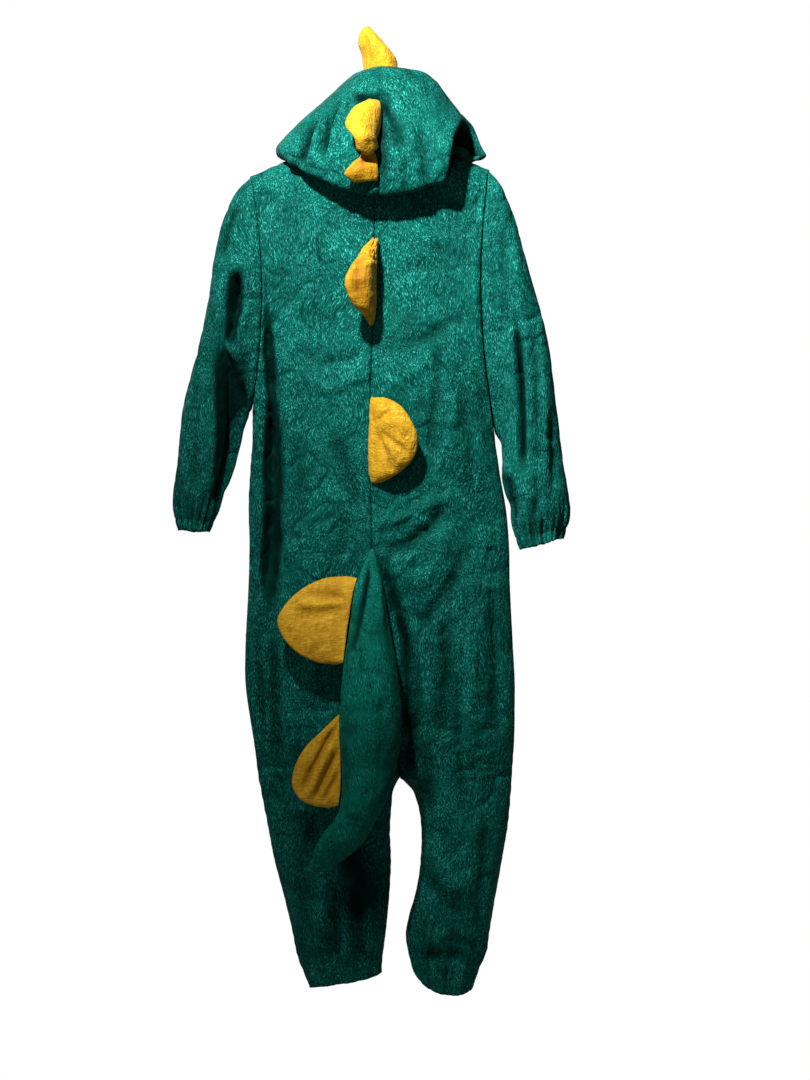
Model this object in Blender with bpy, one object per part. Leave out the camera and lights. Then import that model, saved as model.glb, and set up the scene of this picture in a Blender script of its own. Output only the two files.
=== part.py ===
# Dinosaur costume hanging on a plain hanger, seen from behind in the photo.
# Back of the costume faces -Y, the wearer's right is +X, up is +Z.
# The origin is the point where the hanger's hook bears on its peg.
import math

import bmesh
import bpy
import numpy as np
from mathutils import Vector
from mathutils.bvhtree import BVHTree

MM = 0.001

# Cloth and seams
WALL = 2.0 * MM
SEAM_GAP = 0.3 * MM
HALF_GAP = SEAM_GAP / 2

# Neck and armholes
NECK_CENTRE_X = -4.0
NECK_HALF_WIDTH = 58.0
NECK_DEPTH = 34.0
NAPE_Z = -103.0
THROAT_Z = -116.0
ARMHOLE_DEPTH = 28.0
ARMHOLE_BOW = 13.0
SHOULDER_ROUND = 34.0
SHOULDER_ARCH = 4.5

# Seat, crotch and ankles
SEAT_Z = -740.0
CROTCH_Z = -848.0
ANKLE_WAVES = 6
ANKLE_WAVE_DEPTH = 1.7
CUFF_WAVES = 12
CUFF_WAVE_DEPTH = 1.2

# Panel resolution
COLUMNS_BACK = 15
COLUMNS_FRONT = 9
ARMHOLE_STEPS = (0.0, 0.03, 0.09, 0.18, 0.29, 0.41, 0.53, 0.66, 0.79, 0.91, 1.0)
FINE = 3

# Hanger and hook
HOOK_WIRE = 3.5
HOOK_INNER_RADIUS = 18.0
HANGER_HEIGHT = 13.0
HANGER_HALF_THICK = 4.5

# Shoulder points and underarms, x and z in millimetres
ARMS = {
    "left": {"neck_z": -95.0, "tip": (-154.0, -125.0), "under": (-152.0, -407.0)},
    "right": {"neck_z": -93.0, "tip": (133.0, -117.0), "under": (141.0, -437.0)},
}

# Trunk sections: height, side edges, centre-back seam, depth to the back and to the front
TRUNK_COLUMNS = ("z", "left", "right", "centre", "back", "front")
TRUNK_ROWS = (
    (-100, -154, 128, -4, 35, 34),
    (-150, -154, 130, -4, 37, 34),
    (-190, -154, 131, -4, 39, 34),
    (-240, -153, 132, -5, 41, 34),
    (-300, -153, 133, -6, 43, 35),
    (-360, -152, 136, -8, 44, 35),
    (-407, -152, 139, -9, 45, 35),
    (-437, -152, 141, -9, 45, 35),
    (-480, -155, 147, -9, 45, 36),
    (-520, -157, 154, -8, 46, 36),
    (-562, -156, 158, -7, 47, 36),
    (-610, -157, 159, -4, 48, 37),
    (-650, -159, 161, 0, 49, 38),
    (-690, -161, 163, 6, 50, 38),
    (-730, -161, 165, 12, 50, 39),
    (-770, -156, 165, 17, 49, 39),
    (-805, -150, 164, 22, 48, 38),
    (-835, -146, 162, 25, 46, 38),
    (-848, -144, 161, 26, 45, 37),
)

# Leg sections below the crotch
LEG_COLUMNS = ("z", "left_out", "left_in", "right_in", "right_out", "back", "front")
LEG_ROWS = (
    (-848, -144, 25, 28, 161, 45, 37),
    (-858, -142, 20, 38, 160, 44, 37),
    (-880, -138, 17, 47, 158, 43, 36),
    (-910, -132, 15, 51, 155, 42, 36),
    (-945, -125, 16, 50, 149, 40, 35),
    (-993, -112, 14, 43, 140, 38, 34),
    (-1029, -103, 11, 35, 134, 35, 32),
    (-1055, -97, 8, 32, 130, 31, 29),
    (-1072, -90, 6, 34, 122, 28, 27),
    (-1090, -83, 5, 38, 116, 28, 27),
)

# Hem drop at the inseam, middle and outside of each ankle, added to the last section
HEM_DROPS = {"left": (12.0, 0.0, -8.0), "right": (27.0, -13.0, 1.0)}

# Sleeve rings: upper edge x and z, under edge x and z, half depth, middle y
SLEEVE_COLUMNS = ("ox", "oz", "ix", "iz", "depth", "y")
SLEEVE_ROWS = {
    "left": (
        (-171, -145, -155, -411, 30, 0),
        (-186, -175, -157, -416, 31, 2),
        (-197, -222, -159, -422, 32, 4),
        (-205, -276, -161, -429, 33, 6),
        (-215, -327, -163, -437, 33, 7),
        (-226, -363, -165, -447, 32, 8),
        (-234, -399, -168, -459, 31, 8),
        (-239, -435, -172, -474, 30, 8),
        (-243, -471, -178, -490, 28, 8),
        (-246, -501, -187, -509, 26, 8),
        (-245, -521, -195, -528, 22, 8),
        (-242, -537, -201, -541, 19, 8),
        (-238, -549, -205, -551, 23, 8),
    ),
    "right": (
        (147, -135, 145, -441, 29, -1),
        (162, -171, 147, -447, 30, -3),
        (173, -210, 147, -454, 31, -6),
        (187, -263, 147, -462, 32, -10),
        (197, -297, 147, -470, 32, -14),
        (205, -335, 147, -478, 32, -18),
        (211, -383, 147, -487, 31, -22),
        (216, -429, 149, -497, 30, -25),
        (221, -465, 152, -508, 29, -27),
        (226, -501, 157, -522, 27, -29),
        (227, -528, 160, -541, 23, -30),
        (222, -546, 165, -558, 20, -30),
        (218, -559, 171, -572, 24, -30),
    ),
}

# Hood rings: height at the back, side and front, side edges, reach to the back and to the front
HOOD_COLUMNS = ("zb", "zs", "zf", "left", "right", "back", "front", "sweep")
HOOD_ROWS = (
    (4, 5.8, 4, 2, 2, 28, 45, 126),
    (1, 4.4, 2, -9, 33, 36, 52, 126),
    (-6, 0, -2, -26, 55, 44, 57, 126),
    (-18, -9, -10, -38, 68, 52, 61, 126),
    (-38, -24, -24, -54, 80, 61, 64, 126),
    (-62, -44, -42, -76, 95, 69, 66, 126),
    (-90, -64, -60, -99, 114, 76, 66, 126),
    (-118, -80, -78, -115, 121, 80, 65, 127),
    (-138, -92, -90, -123, 126, 80, 63, 129),
    (-150, -100, -96, -121, 130, 76, 61, 132),
    (-155, -104, -99, -115, 125, 70, 58, 136),
    (-150, -105, -100, -107, 117, 63, 54, 141),
    (-116, -88, -86, -80, 82, 46, 44, 150),
)
HOOD_SEAM_X = 2.0
HOOD_NECK_SWEEP = 160.0
HOOD_STEPS = 12

# Soft folds: x and z of both ends, half width, depth outward (minus is a trough)
FOLD_COLUMNS = ("x1", "z1", "x2", "z2", "width", "depth")
BACK_FOLDS = (
    (-142, -190, -136, -300, 9, -3),
    (-134, -300, -125, -700, 9, -8),
    (-146, -330, -147, -700, 8, 3),
    (-112, -420, -108, -690, 10, 2),
    (129, -140, 129, -440, 7, -3),
    (112, -200, 118, -520, 12, 2),
    (-100, -700, -85, -860, 10, -3),
    (-118, -720, -106, -960, 9, 3),
    (60, -600, 72, -800, 12, -3),
    (30, -640, 42, -790, 10, -5),
    (-60, -430, -70, -560, 12, -2),
    (70, -330, 30, -560, 12, 2),
    (60, -230, 88, -420, 13, -2),
    (-45, -640, -66, -760, 11, -3),
    (140, -620, 143, -830, 9, -3),
    (100, -700, 110, -960, 11, 3),
    (-60, -960, -48, -1050, 9, -3),
    (-30, -930, -20, -1060, 8, 3),
    (62, -930, 80, -1040, 9, -4),
    (100, -960, 96, -1060, 8, 3),
)
FRONT_FOLDS = (
    (-130, -260, -126, -620, 12, -6),
    (112, -200, 118, -560, 12, -5),
    (-70, -420, -60, -700, 13, 3),
    (60, -380, 70, -720, 13, -3),
    (-80, -800, -66, -1030, 12, -4),
    (90, -820, 84, -1030, 12, -4),
)
SLEEVE_FOLDS = {
    "left": (
        (-180, -240, -192, -330, 9, -9),
        (-206, -330, -192, -500, 8, -6),
        (-222, -400, -224, -520, 8, 3),
        (-172, -200, -176, -300, 7, 3),
    ),
    "right": (
        (168, -325, 172, -480, 7, -5),
        (188, -300, 196, -500, 9, 3),
        (150, -180, 152, -330, 8, -3),
        (205, -440, 204, -530, 8, -3),
    ),
}
HOOD_FOLDS = (
    (-30, -30, -52, -84, 7, 5),
    (-42, -36, -64, -96, 6, -4),
    (-64, -50, -86, -112, 7, 5),
    (-76, -64, -98, -112, 5, -4),
    (-98, -74, -112, -118, 6, 3),
    (-22, -36, 8, -44, 7, -8),
    (104, -56, 86, -140, 10, -9),
    (86, -60, 70, -138, 9, 4),
    (34, -60, 46, -140, 9, -4),
    (52, -30, 62, -90, 9, 3),
)

# Tail stations: left edge x and z, right edge x and z, half depth
TAIL_COLUMNS = ("lx", "lz", "rx", "rz", "depth")
TAIL_ROWS = (
    (-8.5, -571, -3.5, -572, 3),
    (-17, -588, 1, -592, 7),
    (-27, -614, 8, -620, 14),
    (-33, -647, 14, -656, 20),
    (-38, -686, 21, -695, 26),
    (-43, -728, 26, -734, 30),
    (-45, -767, 29, -772, 32),
    (-44, -806, 25, -815, 32),
    (-43, -840, 16, -855, 30),
    (-46, -876, 0, -890, 26),
    (-56, -896, -19, -920, 21),
    (-67, -914, -42, -940, 15),
    (-77, -933, -62, -951, 9),
    (-84, -948, -79, -956, 3),
)
TAIL_ARC = 10
TAIL_STEPS = 24

# Spikes: root line and free edge as x and z, thickness, lift off the cloth below
SPIKES = {
    "spike_2": {
        "root": ((1, -40), (2, -60), (1, -84), (0, -108), (-1, -138)),
        "edge": ((-10, -39), (-30, -56), (-38, -72), (-20, -104), (-30, -118), (-39, -131), (-27, -141)),
        "lift": 9.0,
    },
    "spike_3": {
        "root": ((-1, -203), (-3, -224), (-4, -248), (-4, -280), (-7, -306)),
        "edge": ((-6, -202), (-18, -216), (-30, -232), (-39, -260), (-32, -281), (-17, -296), (-9, -307)),
        "lift": 22.0,
    },
    "spike_4": {
        "root": ((-8, -392), (-9, -420), (-10, -450), (-10, -475), (-7, -494)),
        "edge": ((6, -392), (22, -399), (38, -418), (47, -440), (43, -462), (27, -480), (4, -493)),
        "lift": 12.0,
    },
}
TAIL_SPIKES = {
    "spike_5": {
        "root": ((-24, -606), (-31, -640), (-36, -675), (-40, -706)),
        "edge": ((-36, -604), (-62, -606), (-90, -619), (-110, -638), (-119, -656),
                 (-114, -672), (-96, -693), (-72, -705), (-50, -708)),
    },
    "spike_6": {
        "root": ((-44, -766), (-45, -800), (-44, -840), (-44, -874)),
        "edge": ((-50, -770), (-66, -786), (-86, -806), (-100, -836), (-101, -850),
                 (-92, -866), (-76, -874), (-58, -877)),
    },
}
SPIKE_THICK = 5.0
SPIKE_EDGE_THICK = 1.8
SPIKE_LONG = 10
SPIKE_ACROSS = 4

# Crown spike: rows from its root upward, left and right edge x and z, and their y
CROWN_COLUMNS = ("lx", "rx", "z", "ly", "my", "ry")
CROWN_ROWS = (
    (-17, 23, 0, 12, -9, 2),
    (-19, 22, 12, 12, -10, 2),
    (-20, 18, 22, 11, -10, 1),
    (-24, 8, 34, 8, -9, 0),
    (-23, -3, 46, 5, -6, -1),
    (-17, -11, 55, 2, -3, -1),
)


def columnAt(rows, names, column, z):
    k = names.index(column)
    heights = [-row[0] for row in rows]
    return float(np.interp(-z, heights, [row[k] for row in rows]))


def trunkAt(column, z):
    return columnAt(TRUNK_ROWS, TRUNK_COLUMNS, column, z)


def legAt(column, z):
    return columnAt(LEG_ROWS, LEG_COLUMNS, column, z)


def unit(v):
    length = np.linalg.norm(v)
    return v / length if length > 1e-12 else np.array((0.0, 0.0, 1.0))


def smooth(t):
    t = min(max(t, 0.0), 1.0)
    return t * t * (3 - 2 * t)


def foldShift(folds, x, z):
    total = 0.0
    for x1, z1, x2, z2, width, depth in folds:
        along = (z1 - z) / (z1 - z2)
        if along < -0.35 or along > 1.35:
            continue
        ends = smooth((along + 0.3) / 0.45) * smooth((1.3 - along) / 0.45)
        middle = x1 + (x2 - x1) * along
        total += depth * ends * math.exp(-((x - middle) / width) ** 2)
    return total


def topLine(side, face, x):
    """Neckline and shoulder seam: height and depth at one x."""
    arm = ARMS[side]
    tip_x, tip_z = arm["tip"]
    reach = abs(x - NECK_CENTRE_X) / NECK_HALF_WIDTH
    if reach < 1.0:
        low = NAPE_Z if face == "back" else THROAT_Z
        z = arm["neck_z"] + (low - arm["neck_z"]) * (1 - reach ** 2)
        return z, NECK_DEPTH * math.sqrt(1 - reach ** 2)
    neck_x = NECK_CENTRE_X + math.copysign(NECK_HALF_WIDTH, tip_x)
    t = (x - neck_x) / (tip_x - neck_x)
    arch = SHOULDER_ARCH * math.sin(math.pi * min(1.0, t))
    return arm["neck_z"] + (tip_z - arm["neck_z"]) * t + arch, 0.0


def armholeX(side, s):
    tip = ARMS[side]["tip"][0]
    under = ARMS[side]["under"][0]
    inward = -math.copysign(ARMHOLE_BOW, tip)
    return tip + (under - tip) * s + inward * math.sin(math.pi * s)


def armholeDepth(s):
    return ARMHOLE_DEPTH * math.sqrt(max(0.0, 1 - (2 * s - 1) ** 2))


def trunkColumn(t):
    return 0.5 * t + 0.5 * math.sin(math.pi * t / 2)


def legColumn(t):
    return 0.25 * t + 0.375 * (1 - math.cos(math.pi * t))


def trunkProfile(u):
    return math.sqrt(max(0.0, 1 - u ** 2.4))


def legProfile(u, z):
    """Half ring of a leg: at the crotch its outer half is the trunk's, lower down it is an ellipse."""
    ring = math.sqrt(max(0.0, 1 - abs(2 * u - 1) ** 2.3))
    seat = trunkProfile(u) * (ring if u < 0.5 else 1.0)
    low = smooth((CROTCH_Z - z) / 130)
    return seat + (ring - seat) * low


def seatFade(z):
    if z > SEAT_Z:
        return 1.0
    t = min(1.0, (SEAT_Z - z) / (SEAT_Z - CROTCH_Z))
    return math.sqrt(max(0.0, 1 - t ** 2.2))


def hemDrop(side, t):
    inner, middle, outer = HEM_DROPS[side]
    return inner * (1 - t) * (1 - 2 * t) + 4 * middle * t * (1 - t) + outer * t * (2 * t - 1)


def panelPoint(side, face, t, v, waves=True):
    """One point of a body panel in millimetres; t runs from the centre to the side and v down."""
    sign = -1.0 if face == "back" else 1.0
    folds = BACK_FOLDS if face == "back" else FRONT_FOLDS
    under_z = ARMS[side]["under"][1]
    if v <= 1.0:
        u = trunkColumn(t)
        edge = armholeX(side, v)
        x = NECK_CENTRE_X + (edge - NECK_CENTRE_X) * u
        z_top, y_top = topLine(side, face, x)
        z = z_top + (under_z - z_top) * v
        centre = NECK_CENTRE_X + (trunkAt("centre", z) - NECK_CENTRE_X) * smooth(v * 2)
        x = centre + (edge - centre) * u
        arm = armholeDepth(v)
        full = arm + (trunkAt(face, z) - arm) * trunkProfile(u)
        h = min(1.0, (z_top - z) / SHOULDER_ROUND)
        rounding = math.sqrt(1 - (1 - h) ** 2)
        rounding = 1 - (1 - rounding) * (1 - u ** 8)
        y = y_top + (full - y_top) * rounding
        y += foldShift(folds, x, z) * smooth(v * 5) * smooth((1 - u) * 12)
        return np.array((x, sign * y, z))
    hem_z = LEG_ROWS[-1][0]
    z = under_z + (hem_z - under_z) * (v - 1)
    if z > CROTCH_Z:
        fade = seatFade(z)
        u = trunkColumn(t) * fade + legColumn(t) * (1 - fade)
        centre = trunkAt("centre", z)
        x = centre + (trunkAt(side, z) - centre) * u
        y = trunkAt(face, z) * (fade * trunkProfile(u) + (1 - fade) * legProfile(u, z))
    else:
        u = legColumn(t)
        inner = legAt(side + "_in", z)
        x = inner + (legAt(side + "_out", z) - inner) * u
        y = legAt(face, z) * legProfile(u, z)
        fade = 0.0
    calm = smooth(u * 8 + fade) * smooth((1 - u) * 8)
    y += foldShift(folds, x, z) * calm
    low = smooth((-z - 1010) / 70)
    wave = low * ANKLE_WAVE_DEPTH * math.cos(2 * math.pi * ANKLE_WAVES * t) if waves else 0.0
    y += wave * math.sin(math.pi * min(max(u, 0.0), 1.0))
    z += smooth((-z - 950) / 140) * hemDrop(side, t)
    return np.array((x, sign * y, z))


def panelNormal(side, face, t, v):
    """Outward unit normal; a seam's normal lies in the seam's own plane so both pieces share it."""
    e = 0.01
    t0, t1 = max(0.0, t - e), min(1.0, t + e)
    v0, v1 = max(0.0, v - e), min(2.0, v + e)
    if v <= 1.0 < v1:
        v1 = 1.0
    dt = panelPoint(side, face, t1, v, False) - panelPoint(side, face, t0, v, False)
    dv = panelPoint(side, face, t, v1, False) - panelPoint(side, face, t, v0, False)
    n = unit(np.cross(dt, dv))
    p = panelPoint(side, face, t, v)
    z = p[2]
    middle = (panelPoint(side, face, 0.0, v) + panelPoint(side, face, 1.0, v)) / 2
    if np.dot(n, (p - middle) * (0.3, 1, 0) + (0, p[1], 0)) < 0:
        n = -n
    if v == 0.0:
        x = panelPoint(side, face, t, v)[0]
        if abs(x - NECK_CENTRE_X) >= NECK_HALF_WIDTH:
            slope = dt[2] / dt[0]
            n = unit(np.array((-slope, 0.0, 1.0)))
        else:
            reach = abs(x - NECK_CENTRE_X) / NECK_HALF_WIDTH
            n = unit(n * (1, 1, 0) + np.array((0.0, 0.0, 0.3 + 2.0 * reach ** 5)))
    elif t == 0.0 and z > CROTCH_Z + 1:
        n = unit(n * (0, 1, 1))
    elif t in (0.0, 1.0) and v > 1.0:
        outward = math.copysign(1.0, ARMS[side]["tip"][0]) * (1 if t == 1.0 else -1)
        n = unit(np.array((outward, 0.0, 0.0)) + n * (0, 0, 0.5))
    return n


def sleevePoint(side, row, angle):
    ox, oz, ix, iz, depth, y = row
    top = np.array((ox, 0.0, oz))
    low = np.array((ix, 0.0, iz))
    middle = (top + low) / 2
    point = middle + (top - low) / 2 * math.cos(angle)
    point[1] = y + depth * math.sin(angle)
    return point


def armholeLoop(side):
    """Points round the armhole, down the back and up the front, with miter normals and angles."""
    steps = [(v, "back") for v in ARMHOLE_STEPS] + [(v, "front") for v in ARMHOLE_STEPS[-2:0:-1]]
    points = [panelPoint(side, face, 1.0, v) for v, face in steps]
    angles = []
    for v, face in steps:
        a = math.acos(1 - 2 * v)
        angles.append(-a if face == "back" else a)
    first = SLEEVE_ROWS[side][0]
    normals = []
    count = len(points)
    for k, (v, face) in enumerate(steps):
        body = panelNormal(side, face, 1.0, v)
        if v == 1.0:
            body = np.array((math.copysign(1.0, ARMS[side]["tip"][0]), 0.0, 0.0))
        along = points[(k + 1) % count] - points[k - 1]
        out = sleevePoint(side, first, angles[k]) - points[k]
        natural = unit(np.cross(along, out))
        centre = np.mean(points, axis=0)
        if np.dot(natural, points[k] - centre) < 0:
            natural = -natural
        normals.append(unit(body + natural))
    return steps, points, normals, angles


def addObject(name, verts, faces, colour, rough):
    mesh = bpy.data.meshes.new(name)
    mesh.from_pydata([tuple(float(c) for c in v) for v in verts], [], faces)
    bm = bmesh.new()
    bm.from_mesh(mesh)
    bmesh.ops.remove_doubles(bm, verts=bm.verts, dist=1e-7)
    bmesh.ops.triangulate(bm, faces=bm.faces)
    bmesh.ops.recalc_face_normals(bm, faces=bm.faces)
    bm.to_mesh(mesh)
    bm.free()
    obj = bpy.data.objects.new(name, mesh)
    bpy.context.scene.collection.objects.link(obj)
    material = bpy.data.materials.new(name)
    material.use_nodes = True
    shader = material.node_tree.nodes["Principled BSDF"]
    shader.inputs["Base Color"].default_value = (*colour, 1.0)
    shader.inputs["Roughness"].default_value = rough
    shader.inputs["Metallic"].default_value = 1.0 if name == "hanger_hook" else 0.0
    mesh.materials.append(material)
    return obj


GREEN = (0.004, 0.115, 0.075)
YELLOW = (0.72, 0.40, 0.03)
WOOD = (0.55, 0.40, 0.24)
STEEL = (0.62, 0.62, 0.63)


def stripFaces(a, b, ring):
    """Faces between two rows of indices; a finer lower row is fanned from the coarser one."""
    faces = []
    count = len(a) if ring else len(a) - 1
    step = 1 if len(a) == len(b) else FINE
    for k in range(count):
        k2 = (k + 1) % len(a)
        low = [b[(k * step + j) % len(b)] for j in range(step + 1)]
        if step == 1:
            faces.append((a[k], a[k2], low[1], low[0]))
            continue
        half = step // 2
        for j in range(step):
            faces.append((a[k] if j <= half else a[k2], low[j + 1], low[j]))
            if j == half:
                faces.append((a[k], a[k2], low[j + 1]))
    return faces


def addWall(name, outer, inner, ring, colour=GREEN):
    """A closed wall from rows of outer and inner points in millimetres."""
    verts = []
    index = []
    for rows in (outer, inner):
        table = []
        for row in rows:
            start = len(verts)
            verts.extend(np.array(p) * MM for p in row)
            table.append(list(range(start, start + len(row))))
        index.append(table)
    faces = []
    out, inn = index
    for k in range(len(out) - 1):
        faces += stripFaces(out[k], out[k + 1], ring)
        faces += [tuple(reversed(f)) for f in stripFaces(inn[k], inn[k + 1], ring)]
    for end in (0, -1):
        a, b = out[end], inn[end]
        count = len(a) if ring else len(a) - 1
        for k in range(count):
            k2 = (k + 1) % len(a)
            faces.append((a[k], a[k2], b[k2], b[k]))
    if not ring:
        for side in (0, -1):
            for k in range(len(out) - 1):
                faces.append((out[k][side], out[k + 1][side], inn[k + 1][side], inn[k][side]))
    return addObject(name, verts, faces, colour, 0.75)


def panelRows(side, face):
    """Rows of t and v for one panel, with finer columns at the ankle."""
    columns = COLUMNS_BACK if face == "back" else COLUMNS_FRONT
    under_z = ARMS[side]["under"][1]
    hem_z = LEG_ROWS[-1][0]
    heights = [-520, -565, -610, -650, -690, -730, -765, -795, -820, -837, -847,
               -849, -860, -882, -912, -950, -990, -1022, -1045, -1062, -1076, -1090]
    heights = ([-445, -480] if side == "left" else [-480]) + heights
    rows = [(v, columns) for v in ARMHOLE_STEPS]
    for z in heights:
        v = 1 + (z - under_z) / (hem_z - under_z)
        rows.append((v, columns * FINE if z < -1050 else columns))
    return rows


def buildPanel(side, face, loops):
    steps, points, normals, angles = loops[side]
    miter = {s: (p, n) for s, p, n in zip(steps, points, normals)}
    sign = -1.0 if face == "back" else 1.0
    out_x = math.copysign(1.0, ARMS[side]["tip"][0])
    apart = np.array((out_x * HALF_GAP / MM, sign * HALF_GAP / MM, 0.0))
    outer, inner = [], []
    for v, columns in panelRows(side, face):
        row_out, row_in = [], []
        for k in range(columns + 1):
            t = k / columns
            p = panelPoint(side, face, t, v)
            n = panelNormal(side, face, t, v)
            if t == 1.0 and v <= 1.0:
                n = miter[(v, face if 0.0 < v < 1.0 else "back")][1]
            row_out.append(p + apart)
            row_in.append(p + apart - n * WALL / MM)
        outer.append(row_out)
        inner.append(row_in)
    return addWall(f"{face}_{side}", outer, inner, False)


def buildSleeve(side, loops):
    steps, points, normals, angles = loops[side]
    count = len(points)
    outer, inner = [], []
    first_out, first_in = [], []
    rings = SLEEVE_ROWS[side]
    toward = np.array((math.copysign(1.0, ARMS[side]["tip"][0]), 0.0, 0.0))
    for k in range(count):
        along = unit(points[(k + 1) % count] - points[k - 1])
        across = unit(np.cross(along, normals[k]))
        if np.dot(across, toward) < 0:
            across = -across
        apart = across * 2 * SEAM_GAP / MM
        first_out.append(points[k] + apart)
        first_in.append(points[k] + apart - normals[k] * WALL / MM)
    outer.append(first_out)
    inner.append(first_in)
    turn = list(angles) + [angles[0]]
    folds = SLEEVE_FOLDS[side]
    for j, ring in enumerate(rings):
        fine = j >= len(rings) - 3
        step = FINE if fine else 1
        row_out, row_in = [], []
        for k in range(count * step):
            base, part = divmod(k, step)
            a0, a1 = turn[base], turn[base + 1]
            if a1 > a0:
                a1 -= 2 * math.pi
            a = a0 + (a1 - a0) * part / step
            p = sleevePoint(side, ring, a)
            n = ringNormal(ring, a)
            if fine:
                wave = CUFF_WAVE_DEPTH * (j - len(rings) + 4) / 3
                p = p + n * wave * math.cos(2 * math.pi * CUFF_WAVES * k / (count * step))
            elif math.sin(a) < 0:
                p = p + np.array((0.0, -1.0, 0.0)) * foldShift(folds, p[0], p[2])
            row_out.append(p)
            row_in.append(p - n * WALL / MM)
        outer.append(row_out)
        inner.append(row_in)
    return addWall(f"sleeve_{side}", outer, inner, True)


def ringNormal(ring, angle):
    """Outward normal of a sleeve ring within its own plane."""
    ox, oz, ix, iz, depth, y = ring
    long_axis = np.array((ox - ix, 0.0, oz - iz)) / 2
    length = np.linalg.norm(long_axis)
    n = long_axis / length * (math.cos(angle) / length)
    n[1] = math.sin(angle) / depth
    return unit(n)


def hoodPoint(side, c, v):
    """Hood surface: c from the centre seam to the face edge, v down the rows."""
    last = len(HOOD_ROWS)
    if v > last - 1:
        blend = v - (last - 1)
        low = hoodNeck(side, c)
        high = hoodRow(side, c, last - 1)
        return high + (low - high) * blend
    k = min(int(v), last - 2)
    f = v - k
    a, b = hoodRow(side, c, k), hoodRow(side, c, k + 1)
    return a + (b - a) * f


def hoodRow(side, c, k):
    zb, zs, zf, left, right, back, front, sweep = HOOD_ROWS[k]
    edge = left if side == "left" else right
    theta = math.radians(c * sweep)
    x = HOOD_SEAM_X + (edge - HOOD_SEAM_X) * math.sin(theta)
    cos = math.cos(theta)
    if cos > 0:
        y = -back * cos
        z = zs + (zb - zs) * cos ** 2
    else:
        y = -front * cos
        z = zs + (zf - zs) * cos ** 2
    p = np.array((x, y, z))
    if 1 <= k <= len(HOOD_ROWS) - 2 and cos > -0.2:
        shift = foldShift(HOOD_FOLDS, x, z)
        p += unit(np.array((x * 0.6, y, 0.0))) * shift
    return p


def hoodNeck(side, c):
    theta = math.radians(c * HOOD_NECK_SWEEP)
    out = -1.0 if side == "left" else 1.0
    x = NECK_CENTRE_X + out * NECK_HALF_WIDTH * math.sin(theta)
    face = "back" if theta < math.pi / 2 else "front"
    z, depth = topLine(side, face, NECK_CENTRE_X + (x - NECK_CENTRE_X) * 0.9999)
    y = -depth if face == "back" else depth
    outward = unit(np.array((x - NECK_CENTRE_X, y * 1.6, 18.0)))
    return np.array((x, y, z + 1.8 * math.sin(theta) ** 2)) + outward * 0.7


def buildHood(side):
    rows = len(HOOD_ROWS) + 1
    out_x = -1.0 if side == "left" else 1.0
    apart = np.array((out_x * HALF_GAP / MM, 0.0, 0.0))
    grid = [[hoodPoint(side, k / HOOD_STEPS, j) for k in range(HOOD_STEPS + 1)] for j in range(rows)]
    outer, inner = [], []
    for j in range(rows):
        row_out, row_in = [], []
        for k in range(HOOD_STEPS + 1):
            p = grid[j][k]
            dk = grid[j][min(k + 1, HOOD_STEPS)] - grid[j][max(k - 1, 0)]
            dj = grid[min(j + 1, rows - 1)][k] - grid[max(j - 1, 0)][k]
            n = unit(np.cross(dk, dj)) * -out_x
            if j == 0:
                n = np.array((0.0, 0.0, 1.0))
            elif k == 0:
                n = unit(n * (0, 1, 1))
            row_out.append(p + apart)
            row_in.append(p + apart - n * WALL / MM)
        outer.append(row_out)
        inner.append(row_in)
    return addWall(f"hood_{side}", outer, inner, False)


def surfaceFinder(objects):
    """Depth of the nearest cloth seen from the back at one x and z, in millimetres."""
    trees = []
    for obj in objects:
        verts = [v.co.copy() for v in obj.data.vertices]
        trees.append(BVHTree.FromPolygons(verts, [tuple(p.vertices) for p in obj.data.polygons]))

    def depthAt(x, z):
        best = None
        for tree in trees:
            hit = tree.ray_cast(Vector((x * MM, -1.0, z * MM)), Vector((0, 1, 0)))
            if hit[0] is not None and (best is None or hit[0].y < best):
                best = hit[0].y
        return -45.0 if best is None else best / MM

    return depthAt


def resample(points, count):
    pts = [np.array(p, float) for p in points]
    lengths = [0.0]
    for a, b in zip(pts, pts[1:]):
        lengths.append(lengths[-1] + float(np.linalg.norm(b - a)))
    result = []
    for k in range(count):
        s = lengths[-1] * k / (count - 1)
        result.append(np.array([np.interp(s, lengths, [p[i] for p in pts]) for i in range(len(pts[0]))]))
    return result


def addLeaf(name, middle, thick, across_dir):
    """A two-sided leaf from a grid of middle points; thick is a function of the grid place."""
    rows, columns = len(middle), len(middle[0])
    near, far = [], []
    for i in range(rows):
        row_near, row_far = [], []
        for j in range(columns):
            half = thick(i / (rows - 1), j / (columns - 1)) / 2
            n = across_dir(i, j)
            row_near.append(middle[i][j] + n * half)
            row_far.append(middle[i][j] - n * half)
        near.append(row_near)
        far.append(row_far)
    return addWall(name, near, far, False, YELLOW)


def leafThickness(a, b):
    ends = min(1.0, 4 * a + 0.2, 4 * (1 - a) + 0.2)
    side = 1 - b ** 3
    return SPIKE_EDGE_THICK + (SPIKE_THICK - SPIKE_EDGE_THICK) * ends * side


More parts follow.
